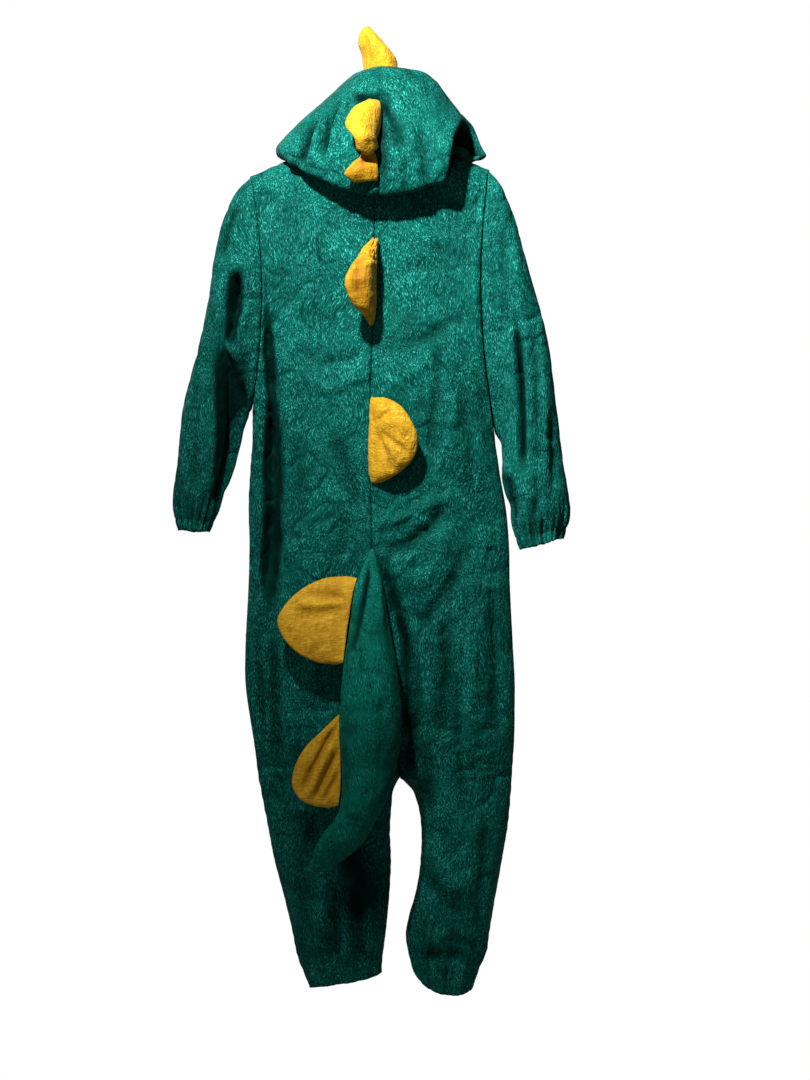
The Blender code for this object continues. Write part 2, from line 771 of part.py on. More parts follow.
def buildBackSpike(name, spec, depthAt):
    root = resample(spec["root"], SPIKE_LONG + 1)
    edge = resample(spec["edge"], SPIKE_LONG + 1)
    middle = []
    for i in range(SPIKE_LONG + 1):
        a = i / SPIKE_LONG
        row = []
        for j in range(SPIKE_ACROSS + 1):
            b = j / SPIKE_ACROSS
            x, z = root[i] + (edge[i] - root[i]) * b
            seat = depthAt(x, z)
            for dx, dz in ((-3, 0), (3, 0), (0, -3), (0, 3)):
                seat = min(seat, depthAt(x + dx, z + dz))
            half = leafThickness(a, b) / 2
            lift = spec["lift"] * math.sin(math.pi * min(1.0, b * 0.6)) * math.sin(math.pi * a) ** 0.5
            row.append(np.array((x, seat - 0.5 - half - lift, z)))
        middle.append(row)
    return addLeaf(name, middle, leafThickness, lambda i, j: np.array((0.0, -1.0, 0.0)))


def tailStations():
    rows = np.array(TAIL_ROWS, float)
    s = np.linspace(0, len(rows) - 1, TAIL_STEPS)
    smoothed = []
    for value in s:
        k = min(int(value), len(rows) - 2)
        f = value - k
        p0, p1 = rows[max(k - 1, 0)], rows[k]
        p2, p3 = rows[k + 1], rows[min(k + 2, len(rows) - 1)]
        smoothed.append(0.5 * ((2 * p1) + (p2 - p0) * f + (2 * p0 - 5 * p1 + 4 * p2 - p3) * f ** 2
                               + (3 * p1 - p0 - 3 * p2 + p3) * f ** 3))
    return smoothed


def buildTail(depthAt):
    stations = tailStations()
    middles = []
    for lx, lz, rx, rz, depth in stations:
        x, z = (lx + rx) / 2, (lz + rz) / 2
        reach = [depthAt(x + dx, z + dz) for dx in (-12, 0, 12) for dz in (-6, 6)]
        middles.append(min(reach) - depth - 0.6)
    lowest = min(middles)
    settled = []
    for k, y in enumerate(middles):
        hang = lowest + 0.35 * max(0.0, k - 16)
        settled.append(min(y, hang) if k > middles.index(lowest) else y)
    halves = []
    for name, sign in (("tail_right", -1.0), ("tail_left", 1.0)):
        verts, faces, rings = [], [], []
        for (lx, lz, rx, rz, depth), y in zip(stations, settled):
            left, right = np.array((lx, y, lz)), np.array((rx, y, rz))
            ring = []
            for k in range(TAIL_ARC + 1):
                a = math.pi * k / TAIL_ARC
                p = (left + right) / 2 + (left - right) / 2 * math.cos(a)
                p = p + np.array((0.0, sign * (depth * math.sin(a) + HALF_GAP / MM), 0.0))
                ring.append(len(verts))
                verts.append(p * MM)
            rings.append(ring)
        for a, b in zip(rings, rings[1:]):
            faces += stripFaces(a, b, True)
        faces.append(tuple(rings[0]))
        faces.append(tuple(reversed(rings[-1])))
        halves.append(addObject(name, verts, faces, GREEN, 0.75))
    return stations, settled


def buildTailSpike(name, spec, stations, settled):
    heights = [-(s[1] + s[3]) / 2 for s in stations]
    root = resample(spec["root"], SPIKE_LONG + 1)
    edge = resample(spec["edge"], SPIKE_LONG + 1)
    middle = []
    for i in range(SPIKE_LONG + 1):
        row = []
        seam = float(np.interp(-root[i][1], [-s[1] for s in stations], [s[0] for s in stations]))
        start = np.array((seam - 0.5, root[i][1]))
        for j in range(SPIKE_ACROSS + 1):
            b = j / SPIKE_ACROSS
            x, z = start + (edge[i] - start) * b
            y = float(np.interp(-z, heights, settled)) + 5.0 * b ** 1.5
            row.append(np.array((x, y, z)))
        middle.append(row)
    return addLeaf(name, middle, leafThickness, lambda i, j: np.array((0.0, -1.0, 0.0)))


def buildCrownSpike(hoods):
    trees = [BVHTree.FromPolygons([v.co.copy() for v in h.data.vertices],
                                  [tuple(p.vertices) for p in h.data.polygons]) for h in hoods]
    middle = []
    rows = resample(CROWN_ROWS, 9)
    for i, (lx, rx, z, ly, my, ry) in enumerate(rows):
        row = []
        for j in range(9):
            b = j / 8
            x = lx + (rx - lx) * b
            y = ly * (1 - b) * (1 - 2 * b) + 4 * my * b * (1 - b) + ry * b * (2 * b - 1)
            row.append(np.array((x, y, z)))
        middle.append(row)
    for j in range(9):
        x, y, z = middle[0][j]
        best = -1.0
        for tree in trees:
            for dx, dy in ((0, 0), (-3, 0), (3, 0), (0, -3), (0, 3)):
                hit = tree.ray_cast(Vector(((x + dx) * MM, (y + dy) * MM, 1.0)), Vector((0, 0, -1)))
                if hit[0] is not None:
                    best = max(best, hit[0].z)
        middle[0][j][2] = best / MM + 0.5
        middle[1][j][2] = max(middle[1][j][2], middle[0][j][2] + 4)
    top = middle[-1]

    def across(i, j):
        a = middle[i][max(j - 1, 0)]
        b = middle[i][min(j + 1, 8)]
        n = unit(np.cross(b - a, np.array((0.0, 0.0, 1.0))))
        return n if n[1] < 0 else -n

    def thick(a, b):
        sides = min(1.0, 4 * b + 0.2, 4 * (1 - b) + 0.2)
        return SPIKE_EDGE_THICK + (SPIKE_THICK - 1 - SPIKE_EDGE_THICK) * sides * (1 - a ** 3)

    return addLeaf("spike_1", middle, thick, across)


def addTube(name, path, radius, sides, colour, rough):
    verts, faces, rings = [], [], []
    for k, p in enumerate(path):
        along = unit(path[min(k + 1, len(path) - 1)] - path[max(k - 1, 0)])
        side = np.array((0.0, 1.0, 0.0))
        up = unit(np.cross(along, side))
        ring = []
        for j in range(sides):
            a = 2 * math.pi * j / sides
            ring.append(len(verts))
            verts.append((p + radius * (side * math.cos(a) + up * math.sin(a))) * MM)
        rings.append(ring)
    for a, b in zip(rings, rings[1:]):
        faces += stripFaces(a, b, True)
    faces.append(tuple(rings[0]))
    faces.append(tuple(reversed(rings[-1])))
    return addObject(name, verts, faces, colour, rough)


def buildHanger():
    drop = WALL / MM + 0.5
    tips = {"left": -140.0, "right": 115.0}
    stations = []
    for x in np.linspace(tips["left"], tips["right"], 17):
        side = "left" if x < NECK_CENTRE_X else "right"
        reach = abs(x - NECK_CENTRE_X)
        neck_x = NECK_CENTRE_X + math.copysign(NECK_HALF_WIDTH, x - NECK_CENTRE_X)
        z, depth = topLine(side, "back", x if reach > NECK_HALF_WIDTH else neck_x)
        if reach < NECK_HALF_WIDTH:
            z = z + 6.0 * (1 - (reach / NECK_HALF_WIDTH) ** 2)
        stations.append((x, z - drop))
    verts, faces, rings = [], [], []
    for x, z in stations:
        ring = []
        end = min(1.0, 0.6 + min(x - tips["left"], tips["right"] - x) / 20)
        half, height = HANGER_HALF_THICK * end, HANGER_HEIGHT * end
        flat = half * 0.35
        for y, dz in ((-half, -5.0 * end), (-flat, -0.6), (flat, -0.6), (half, -5.0 * end),
                      (half, 2 - height), (flat, -height), (-flat, -height), (-half, 2 - height)):
            ring.append(len(verts))
            verts.append(np.array((x, y, z + dz)) * MM)
        rings.append(ring)
    for a, b in zip(rings, rings[1:]):
        faces += stripFaces(a, b, True)
    faces.append(tuple(rings[0]))
    faces.append(tuple(reversed(rings[-1])))
    addObject("hanger", verts, faces, WOOD, 0.5)
    top = float(np.interp(0.0, [s[0] for s in stations], [s[1] for s in stations])) - 0.4
    radius = HOOK_INNER_RADIUS + HOOK_WIRE / 2
    path = [np.array((0.0, 0.0, z)) for z in (top + 0.35, -70.0, -52.0)]
    centre_z = -HOOK_INNER_RADIUS
    for k in range(5):
        f = (k + 1) / 5
        x = radius * math.sin(math.pi / 2 * f) * 1.0
        path.append(np.array((x * f, 0.0, -52.0 + (centre_z + 52.0) * f)))
    for k in range(1, 15):
        a = math.radians(215 * k / 14)
        path.append(np.array((radius * math.cos(a), 0.0, centre_z + radius * math.sin(a))))
    addTube("hanger_hook", path, HOOK_WIRE / 2, 10, STEEL, 0.3)


def main():
    for old in list(bpy.data.objects):
        bpy.data.objects.remove(old)
    loops = {side: armholeLoop(side) for side in ARMS}
    backs = [buildPanel(side, "back", loops) for side in ARMS]
    for side in ARMS:
        buildPanel(side, "front", loops)
        buildSleeve(side, loops)
    hoods = [buildHood(side) for side in ARMS]
    onBack = surfaceFinder(backs)
    onHood = surfaceFinder(hoods)
    stations, settled = buildTail(onBack)
    buildCrownSpike(hoods)
    for name, spec in SPIKES.items():
        buildBackSpike(name, spec, onHood if name == "spike_2" else onBack)
    for name, spec in TAIL_SPIKES.items():
        buildTailSpike(name, spec, stations, settled)
    buildHanger()
    total = 0
    for obj in bpy.context.scene.objects:
        count = len(obj.data.polygons)
        total += count
        print(obj.name, count)
    print("triangles", total)


main()
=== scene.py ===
# Dinosaur costume on a plain hanger, seen from behind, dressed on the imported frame.
# Sizes are in millimetres until a mesh is made; the origin is where the hook bears on its peg.
import math

import bpy
import numpy as np
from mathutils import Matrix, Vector, noise
from mathutils.bvhtree import BVHTree


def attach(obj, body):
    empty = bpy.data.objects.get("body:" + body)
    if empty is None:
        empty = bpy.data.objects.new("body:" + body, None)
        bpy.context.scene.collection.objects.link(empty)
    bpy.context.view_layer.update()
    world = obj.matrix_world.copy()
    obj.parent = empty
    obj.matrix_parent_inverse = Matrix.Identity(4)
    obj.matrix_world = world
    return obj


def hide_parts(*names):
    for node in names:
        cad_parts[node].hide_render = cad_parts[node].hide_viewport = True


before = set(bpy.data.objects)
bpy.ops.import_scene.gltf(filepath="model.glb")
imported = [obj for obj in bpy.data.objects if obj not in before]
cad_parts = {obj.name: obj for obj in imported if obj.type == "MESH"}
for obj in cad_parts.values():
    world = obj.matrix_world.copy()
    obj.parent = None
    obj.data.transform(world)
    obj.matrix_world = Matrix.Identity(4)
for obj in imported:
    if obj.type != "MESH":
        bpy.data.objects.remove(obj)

noise.seed_set(11)  # without a seed the warp in crumpled differs from run to run
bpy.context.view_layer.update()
mm = 0.001
print("stage: frame loaded")

# Camera, light and floor
photoView = {"aim": (0.032, 0.0, -0.561), "distance": 4.2, "frameHeight": 1.296}
lamp = {"place": (-0.29, -0.84, 0.50), "aim": (0.33, 0.0, -0.08), "power": 215.0, "size": 0.035, "cone": 82.0}
fillLamp = {"place": (-0.8, -1.6, -0.95), "aim": (0.0, 0.0, -0.8), "power": 2.8, "size": 1.4}
backLamp = {"place": (-0.5, 2.1, 0.35), "aim": (0.0, 0.0, -0.5), "power": 17.0, "size": 1.3}
room = {"seen": 1.0, "light": 0.13}
floor = {"height": -1.75, "size": 2.9}


def pointAt(thing, target):
    thing.rotation_euler = (Vector(target) - thing.location).to_track_quat("-Z", "Y").to_euler()


def addLamp(name, spec):
    data = bpy.data.lights.new(name, "SPOT" if "cone" in spec else "AREA")
    data.energy = spec["power"]
    if "cone" in spec:
        data.spot_size, data.spot_blend = math.radians(spec["cone"]), 1.0
        data.shadow_soft_size = spec["size"]
    else:
        data.size = spec["size"]
    thing = bpy.data.objects.new(name, data)
    thing.location = spec["place"]
    bpy.context.scene.collection.objects.link(thing)
    pointAt(thing, spec["aim"])
    return thing


def addCamera():
    data = bpy.data.cameras.new("photoCamera")
    data.sensor_width = 36.0
    data.lens = 18.0 / (photoView["frameHeight"] / 2 / photoView["distance"])
    thing = bpy.data.objects.new("photoCamera", data)
    x, y, z = photoView["aim"]
    thing.location = (x, y - photoView["distance"], z)
    bpy.context.scene.collection.objects.link(thing)
    pointAt(thing, photoView["aim"])
    bpy.context.scene.camera = thing


# Socket values with ordinary maths
class Wire:
    def __init__(self, finish, socket):
        self.finish, self.socket = finish, socket

    def maths(self, kind, other, flipped=False):
        pair = (other, self) if flipped else (self, other)
        return self.finish.node("Math", {"operation": kind}, {0: pair[0], 1: pair[1]})

    def __add__(self, other):
        return self.maths("ADD", other)

    def __radd__(self, other):
        return self.maths("ADD", other)

    def __sub__(self, other):
        return self.maths("SUBTRACT", other)

    def __rsub__(self, other):
        return self.maths("SUBTRACT", other, True)

    def __mul__(self, other):
        return self.maths("MULTIPLY", other)

    def __rmul__(self, other):
        return self.maths("MULTIPLY", other)


class Finish:
    def __init__(self, name):
        self.material = bpy.data.materials.new(name)
        self.material.use_nodes = True
        self.tree = self.material.node_tree
        self.shader = self.tree.nodes["Principled BSDF"]
        self.place = self.node("TexCoord", {}, {}, "Object")

    def node(self, kind, settings, sockets, out=0):
        thing = self.tree.nodes.new("ShaderNode" + kind)
        for key, value in settings.items():
            if key == "stops":
                ramp = thing.color_ramp
                while len(ramp.elements) < len(value):
                    ramp.elements.new(0.5)
                for element, (position, colour) in zip(ramp.elements, value):
                    element.position = position
                    element.color = (*colour, 1.0)
            else:
                setattr(thing, key, value)
        for key, value in sockets.items():
            self.put(thing.inputs[key], value)
        return Wire(self, thing.outputs[out])

    def put(self, socket, value):
        if isinstance(value, Wire):
            self.tree.links.new(value.socket, socket)
        elif socket.type == "RGBA" and len(value) == 3:
            socket.default_value = (*value, 1.0)
        else:
            socket.default_value = value

    def grain(self, at, scale, detail=2.0, rough=0.5, out="Fac"):
        return self.node("TexNoise", {}, {"Vector": at, "Scale": scale, "Detail": detail, "Roughness": rough}, out)

    def step(self, value, low, high):
        return self.node("MapRange", {"interpolation_type": "SMOOTHSTEP"}, {0: value, 1: low, 2: high, 3: 0.0, 4: 1.0})

    def blend(self, factor, a, b, kind="MIX"):
        return self.node("Mix", {"data_type": "RGBA", "blend_type": kind}, {0: factor, 6: a, 7: b}, 2)

    def vector(self, kind, a, b):
        return self.node("VectorMath", {"operation": kind}, {0: a, 1: b})

    def finishWith(self, colour, rough, height=None, strength=0.5, depth=0.001, **fixed):
        self.put(self.shader.inputs["Base Color"], colour)
        self.put(self.shader.inputs["Roughness"], rough)
        for key, value in fixed.items():
            self.put(self.shader.inputs[key.replace("_", " ")], value)
        if height is not None:
            bump = self.node("Bump", {}, {"Strength": strength, "Distance": depth, "Height": height})
            self.put(self.shader.inputs["Normal"], bump)
        return self.material


# Crushed short-pile plush: fine hairs that swirl, painted with glints of light in the light colour, brushed patches,
# and soft crush lines bumped in and darkened as painted shade
greenPlush = {"deep": (0.0001, 0.0035, 0.0026), "dark": (0.0008, 0.042, 0.031), "base": (0.0014, 0.082, 0.061),
              "light": (0.050, 0.46, 0.40), "hair": (1120.0, 1120.0, 250.0), "tilt": 0.75, "hairs": (0.53, 0.66),
              "crush": 24.0, "patch": 24.0, "bend": 0.07, "sheen": 0.02, "tint": (0.10, 0.70, 0.55), "gloss": 0.05,
              "lines": 0.42, "hollow": 0.7, "shine": (0.25, 1.0, 0.85)}
yellowPlush = {"deep": (0.20, 0.075, 0.002), "dark": (0.34, 0.165, 0.005), "base": (0.46, 0.255, 0.010),
               "light": (0.62, 0.42, 0.055), "hair": (130.0, 420.0, 520.0), "tilt": 0.35, "hairs": (0.50, 0.72),
               "crush": 40.0, "patch": 34.0, "bend": 0.03, "sheen": 0.12, "tint": (1.0, 0.80, 0.35), "gloss": 0.12,
               "lines": 0.0, "hollow": 0.22, "shine": (1.0, 0.9, 0.6)}
# The tail's copy of the green plush: finer nap, with lighter base and dark colours as painted light, standing in for
# the brighter light the tail catches
tailPlushPaintedLight = dict(greenPlush, base=(0.0018, 0.115, 0.080), dark=(0.0012, 0.070, 0.048), hairs=(0.55, 0.72),
                 patch=12.0, crush=14.0, bend=0.04)


def plush(name, spec):
    f = Finish(name)
    drift = f.vector("SUBTRACT", f.grain(f.place, 9.0, 1.0, 0.5, "Color"), (0.5, 0.5, 0.5))
    bent = f.vector("ADD", f.place, f.vector("MULTIPLY", drift, (spec["bend"],) * 3))
    layers = []
    for turn in (spec["tilt"], -spec["tilt"]):
        leaned = f.node("Mapping", {}, {"Vector": bent, "Rotation": (0.0, turn, 0.0), "Scale": spec["hair"]})
        layers.append(f.grain(leaned, 1.0, 2.0, 0.55))
    lean = f.step(f.grain(f.place, 17.0, 1.0), 0.44, 0.56)
    hairs = layers[0] * lean + layers[1] * (1.0 - lean)
    fine = f.grain(bent, 1100.0, 1.0, 0.5)
    streaks = []
    for turn in (0.6, -0.6):
        leaned = f.node("Mapping", {}, {"Vector": bent, "Rotation": (0.0, turn, 0.0), "Scale": (190.0, 190.0, 42.0)})
        streaks.append(f.step(f.grain(leaned, 1.0, 2.0, 0.6), 0.40, 0.60))
    streak = streaks[0] * lean + streaks[1] * (1.0 - lean)
    patch = f.step(f.grain(bent, spec["patch"], 3.0, 0.62), 0.34, 0.62) * 0.55 + streak * 0.45
    # Painted glints: the hairs that catch the light, given the lighter colour
    paintedGlint = f.step(hairs * 0.8 + fine * 0.2, *spec["hairs"])
    hollow = 1.0 - f.step(hairs, 0.34, 0.50)
    net = f.node("Math", {"operation": "ABSOLUTE"}, {0: f.grain(bent, spec["crush"], 1.0, 0.5) - 0.5})
    crush = (1.0 - f.step(net, 0.0, 0.035)) * f.step(f.grain(f.place, 13.0, 1.0), 0.40, 0.62) * spec["lines"]
    ground = f.blend(patch, spec["dark"], spec["base"])
    ground = f.blend(hollow * spec["hollow"], ground, spec["deep"])
    # Painted highlight: the glinting hairs take the light colour
    ground = f.blend(paintedGlint * (0.38 + patch * 0.45), ground, spec["light"])
    # Painted shade: the crush lines are darkened where the pile creases in, besides their bump
    ground = f.blend(crush, ground, spec["deep"])
    # Painted shade: the pile darkens deep in folds and under listed marks of shade and cast shadow
    ground = f.blend(f.node("Attribute", {"attribute_name": "pressed"}, {}, "Fac"), ground, spec["deep"])
    # Soft troughs along the same lines, bumped in and darkened a little as painted shade
    trough = (1.0 - f.step(net, 0.0, 0.14)) * f.step(f.grain(f.place, 11.0, 1.0), 0.38, 0.60) * (spec["lines"] * 2.4)
    ground = f.blend(trough * 0.28, ground, spec["dark"])
    height = hairs * 0.7 + fine * 0.2 + patch * 0.9 - crush * 0.9 - trough * 1.6
    rough = 0.60 - paintedGlint * 0.15
    return f.finishWith(ground, rough, height, 0.85, 0.0014, Sheen_Weight=spec["sheen"], Sheen_Roughness=0.4,
                        Sheen_Tint=spec["tint"], Specular_IOR_Level=spec["gloss"], Specular_Tint=spec["shine"])


def clothBack(name, ground, light):
    f = Finish(name)
    loops = f.grain(f.vector("MULTIPLY", f.place, (900.0, 900.0, 520.0)), 1.0, 1.0, 0.4)
    soft = f.grain(f.place, 14.0, 2.0)
    colour = f.blend(f.step(loops, 0.4, 0.65) * 0.5 + f.step(soft, 0.3, 0.7) * 0.3, ground, light)
    return f.finishWith(colour, 0.9 - loops * 0.1, loops, 0.4, 0.0004, Sheen_Weight=0.02, Specular_IOR_Level=0.08)


def beech(name):
    f = Finish(name)
    long = f.grain(f.vector("MULTIPLY", f.place, (9.0, 160.0, 160.0)), 1.0, 3.0, 0.6)
    pores = f.grain(f.vector("MULTIPLY", f.place, (70.0, 1400.0, 1400.0)), 1.0, 2.0, 0.5)
    colour = f.blend(f.step(long, 0.3, 0.7), (0.36, 0.20, 0.095), (0.62, 0.42, 0.23))
    colour = f.blend(f.step(pores, 0.62, 0.72) * 0.5, colour, (0.20, 0.10, 0.045))
    return f.finishWith(colour, 0.38 + long * 0.12, long * 0.5 - f.step(pores, 0.62, 0.72), 0.25, 0.0003,
                        Coat_Weight=0.3, Coat_Roughness=0.2)


def steel(name):
    f = Finish(name)
    fine = f.grain(f.vector("MULTIPLY", f.place, (2200.0, 2200.0, 300.0)), 1.0, 2.0, 0.6)
    worn = f.grain(f.place, 90.0, 3.0, 0.6)
    colour = f.blend(f.step(worn, 0.35, 0.7), (0.62, 0.62, 0.64), (0.48, 0.47, 0.47))
    return f.finishWith(colour, 0.22 + worn * 0.22, fine, 0.15, 0.0001, Metallic=1.0)


def paleFloor(name):
    f = Finish(name)
    soft = f.grain(f.place, 1.5, 2.0)
    return f.finishWith(f.blend(soft, (0.86, 0.86, 0.85), (0.90, 0.90, 0.90)), 0.7)


addCamera()
addLamp("keyLamp", lamp)
addLamp("fillLamp", fillLamp)
addLamp("backLamp", backLamp).visible_camera = False


def paintRoom():
    # White to the eye, but a dimmer light, so the lamp makes the shadows
    world = bpy.data.worlds.new("paleRoom")
    world.use_nodes = True
    tree = world.node_tree
    seen = tree.nodes["Background"]
    seen.inputs[1].default_value = room["seen"]
    seen.inputs[0].default_value = (1.0, 1.0, 1.0, 1.0)
    lit = tree.nodes.new("ShaderNodeBackground")
    lit.inputs[0].default_value = (1.0, 1.0, 1.0, 1.0)
    lit.inputs[1].default_value = room["light"]
    mix = tree.nodes.new("ShaderNodeMixShader")
    path = tree.nodes.new("ShaderNodeLightPath")
    tree.links.new(path.outputs["Is Camera Ray"], mix.inputs[0])
    tree.links.new(lit.outputs[0], mix.inputs[1])
    tree.links.new(seen.outputs[0], mix.inputs[2])
    tree.links.new(mix.outputs[0], tree.nodes["World Output"].inputs[0])
    bpy.context.scene.world = world
    bpy.context.scene.view_settings.view_transform = "Standard"


def addFloor():
    bpy.ops.object.select_all(action="DESELECT")
    bpy.ops.mesh.primitive_plane_add(size=floor["size"], location=(0.0, 0.0, floor["height"]))
    thing = bpy.context.object
    thing.name = "paleFloor"
    thing.data.materials.append(paleFloor("paleFloor"))


paintRoom()
addFloor()

greenCloth = plush("greenPlush", greenPlush)
tailCloth = plush("tailPlushPaintedLight", tailPlushPaintedLight)
yellowCloth = plush("yellowPlush", yellowPlush)
insideCloth = clothBack("greenInside", (0.002, 0.050, 0.034), (0.006, 0.105, 0.075))
print("stage: camera, light and finishes")

# Main sizes of the garment, near those in the source of the part
garment = {
    "wall": 2.0, "halfGap": -0.1, "neckX": -4.0, "neckHalf": 58.0, "neckDepth": 34.0,
    "napeZ": -103.0, "throatZ": -116.0, "armDepth": 28.0, "armBow": 13.0,
    "shoulderRound": 34.0, "shoulderArch": 4.5, "seatZ": -740.0, "crotchZ": -848.0, "hemZ": -1090.0,
}
arms = {
    "left": {"neckZ": -95.0, "tip": (-154.0, -125.0), "under": (-152.0, -407.0)},
    "right": {"neckZ": -93.0, "tip": (133.0, -117.0), "under": (141.0, -437.0)},
}
trunkRows = {"columns": ("z", "left", "right", "centre", "back", "front"), "rows": (
    (-100, -154, 128, -4, 35, 34), (-150, -154, 130, -4, 37, 34), (-190, -154, 131, -4, 39, 34),
    (-240, -153, 132, -5, 41, 34), (-300, -153, 133, -6, 43, 35), (-360, -152, 136, -8, 44, 35),
    (-407, -152, 139, -9, 45, 35), (-437, -152, 141, -9, 45, 35), (-480, -155, 147, -9, 45, 36),
    (-520, -157, 154, -8, 46, 36), (-562, -156, 158, -7, 47, 36), (-610, -157, 159, -4, 48, 37),
    (-650, -159, 161, 0, 49, 38), (-690, -161, 163, 6, 50, 38), (-730, -161, 165, 12, 50, 39),
    (-770, -156, 165, 17, 49, 39), (-805, -150, 164, 22, 48, 38), (-835, -146, 162, 25, 46, 38),
    (-848, -144, 161, 26, 45, 37))}
legRows = {"columns": ("z", "leftOut", "leftIn", "rightIn", "rightOut", "back", "front"), "rows": (
    (-848, -144, 25, 28, 161, 45, 37), (-858, -142, 20, 38, 160, 44, 37), (-880, -138, 17, 47, 158, 43, 36),
    (-910, -132, 15, 51, 155, 42, 36), (-945, -125, 16, 50, 149, 40, 35), (-993, -112, 14, 43, 140, 38, 34),
    (-1029, -103, 11, 35, 134, 35, 32), (-1055, -97, 8, 32, 130, 31, 29), (-1072, -90, 6, 34, 122, 28, 27),
    (-1090, -83, 5, 38, 116, 28, 27))}
hemDrops = {"left": (12.0, 0.0, -8.0), "right": (27.0, -13.0, 1.0)}


def ease(t):
    t = np.clip(t, 0.0, 1.0)
    return t * t * (3 - 2 * t)


def glide(heights, stack, at):
    # Smooth curve through rows of numbers or of points
    slopes = np.gradient(stack, heights, axis=0)
    at = np.clip(np.asarray(at, float), heights[0], heights[-1])
    k = np.clip(np.searchsorted(heights, at, side="right") - 1, 0, len(heights) - 2)
    wide = heights[k + 1] - heights[k]
    t = (at - heights[k]) / wide
    if stack.ndim > 1:
        shape = t.shape + (1,) * (stack.ndim - 1)
        wide, t = wide.reshape(shape), t.reshape(shape)
    return ((2 * t ** 3 - 3 * t ** 2 + 1) * stack[k] + (t ** 3 - 2 * t ** 2 + t) * wide * slopes[k]
            + (3 * t ** 2 - 2 * t ** 3) * stack[k + 1] + (t ** 3 - t ** 2) * wide * slopes[k + 1])


def blendRows(stack, count):
    # Rows of points, spaced evenly along their mean path
    gaps = np.linalg.norm(np.diff(stack, axis=0), axis=2).mean(axis=1)
    heights = np.concatenate(([0.0], np.cumsum(gaps)))
    return glide(heights, stack, np.linspace(0.0, heights[-1], count))


def readRows(table, column, z):
    rows = np.array(table["rows"], float)
    return glide(-rows[:, 0], rows[:, table["columns"].index(column)], -np.asarray(z, float))


def lengthways(grid, axis):
    step = np.linalg.norm(np.diff(grid, axis=axis), axis=2)
    zero = np.zeros_like(step[:1] if axis == 0 else step[:, :1])
    return np.cumsum(np.concatenate((zero, step), axis=axis), axis=axis)


def creased(folds, x, z):
    # Soft folds: half width, depth outward, how much steeper the right side is, then the line as x, z, x, z
    total = np.zeros_like(x)
    for width, depth, lean, *line in folds:
        points = list(zip(line[::2], line[1::2]))
        lengths = [math.dist(a, b) for a, b in zip(points, points[1:])]
        nearest = np.full_like(x, 1e9)
        value = np.zeros_like(x)
        done = 0.0
        for (ax, az), (bx, bz), length in zip(points, points[1:], lengths):
            dx, dz = bx - ax, bz - az
            f = np.clip(((x - ax) * dx + (z - az) * dz) / length ** 2, 0.0, 1.0)
            px, pz = x - ax - dx * f, z - az - dz * f
            far = np.hypot(px, pz)
            wide = np.where(px * -dz + pz * dx > 0, width * (1 - lean), width * (1 + lean))
            along = (done + f * length) / sum(lengths)
            taper = ease(along / 0.25) * ease((1 - along) / 0.25)
            closer = far < nearest
            nearest = np.where(closer, far, nearest)
            value = np.where(closer, depth * taper * np.exp(-(far / wide) ** 2), value)
            done += length
        total += value
    return total


def crumpled(grid, amount, seed):
    # Uneven softness: wide swells and a net of sunken lines
    flat = grid.reshape(-1, 3)
    shift = np.empty(len(flat))
    offset = Vector((seed * 3.7, seed * 1.3, seed * 2.1))
    for k, p in enumerate(flat):
        v = Vector(p)
        wide = noise.fractal(v / 62.0 + offset, 1.0, 2.0, 2)
        warp = noise.noise_vector(v / 70.0 + offset) * 16.0
        net = abs(noise.noise((v + warp) / 34.0 + offset))
        shift[k] = 1.6 * wide - 1.0 * math.exp(-(net / 0.13) ** 2) + 0.5 * noise.noise((v + warp) / 13.0)
    return amount * shift.reshape(grid.shape[:2])


def outwardNormals(grid, ring, heart):
    du = np.roll(grid, -1, 1) - np.roll(grid, 1, 1) if ring else np.gradient(grid, axis=1)
    dv = np.gradient(grid, axis=0)
    n = np.cross(du, dv)
    n /= np.maximum(np.linalg.norm(n, axis=2, keepdims=True), 1e-9)
    return n * (1.0 if np.sum(n * (grid - heart)) > 0 else -1.0)


def seamed(grid, edges, depth=1.5, wide=3.6):
    # Seams roll in, with uneven puckers along them
    shift = np.zeros(grid.shape[:2])
    across, down = lengthways(grid, 1), lengthways(grid, 0)
    far = {"left": across, "right": across[:, -1:] - across, "top": down}
    run = {"left": down, "right": down, "top": across}
    for k, edge in enumerate(edges):
        d, s = far[edge], run[edge]
        shift -= depth * np.exp(-(d / wide) ** 2)
        ripple = np.sin(s / 2.4 + 1.7 * np.sin(s / 19.0 + k)) * (0.6 + 0.4 * np.sin(s / 31.0 + 2 * k))
        shift += 0.55 * ripple * np.exp(-d / 9.0) * (1 - np.exp(-(d / 2.0) ** 2))
    return shift


def paintShade(shift, marks, x, z):
    # Painted shade on the pile, from 0 to 1: darker deep in a fold, and also under listed marks of painted shade and
    # cast shadow
    deep = 1 - np.exp(-np.maximum(0.0, -shift - 0.6) / 5.0)
    return np.clip(0.9 * deep + creased(marks, x, z), 0.0, 0.97)


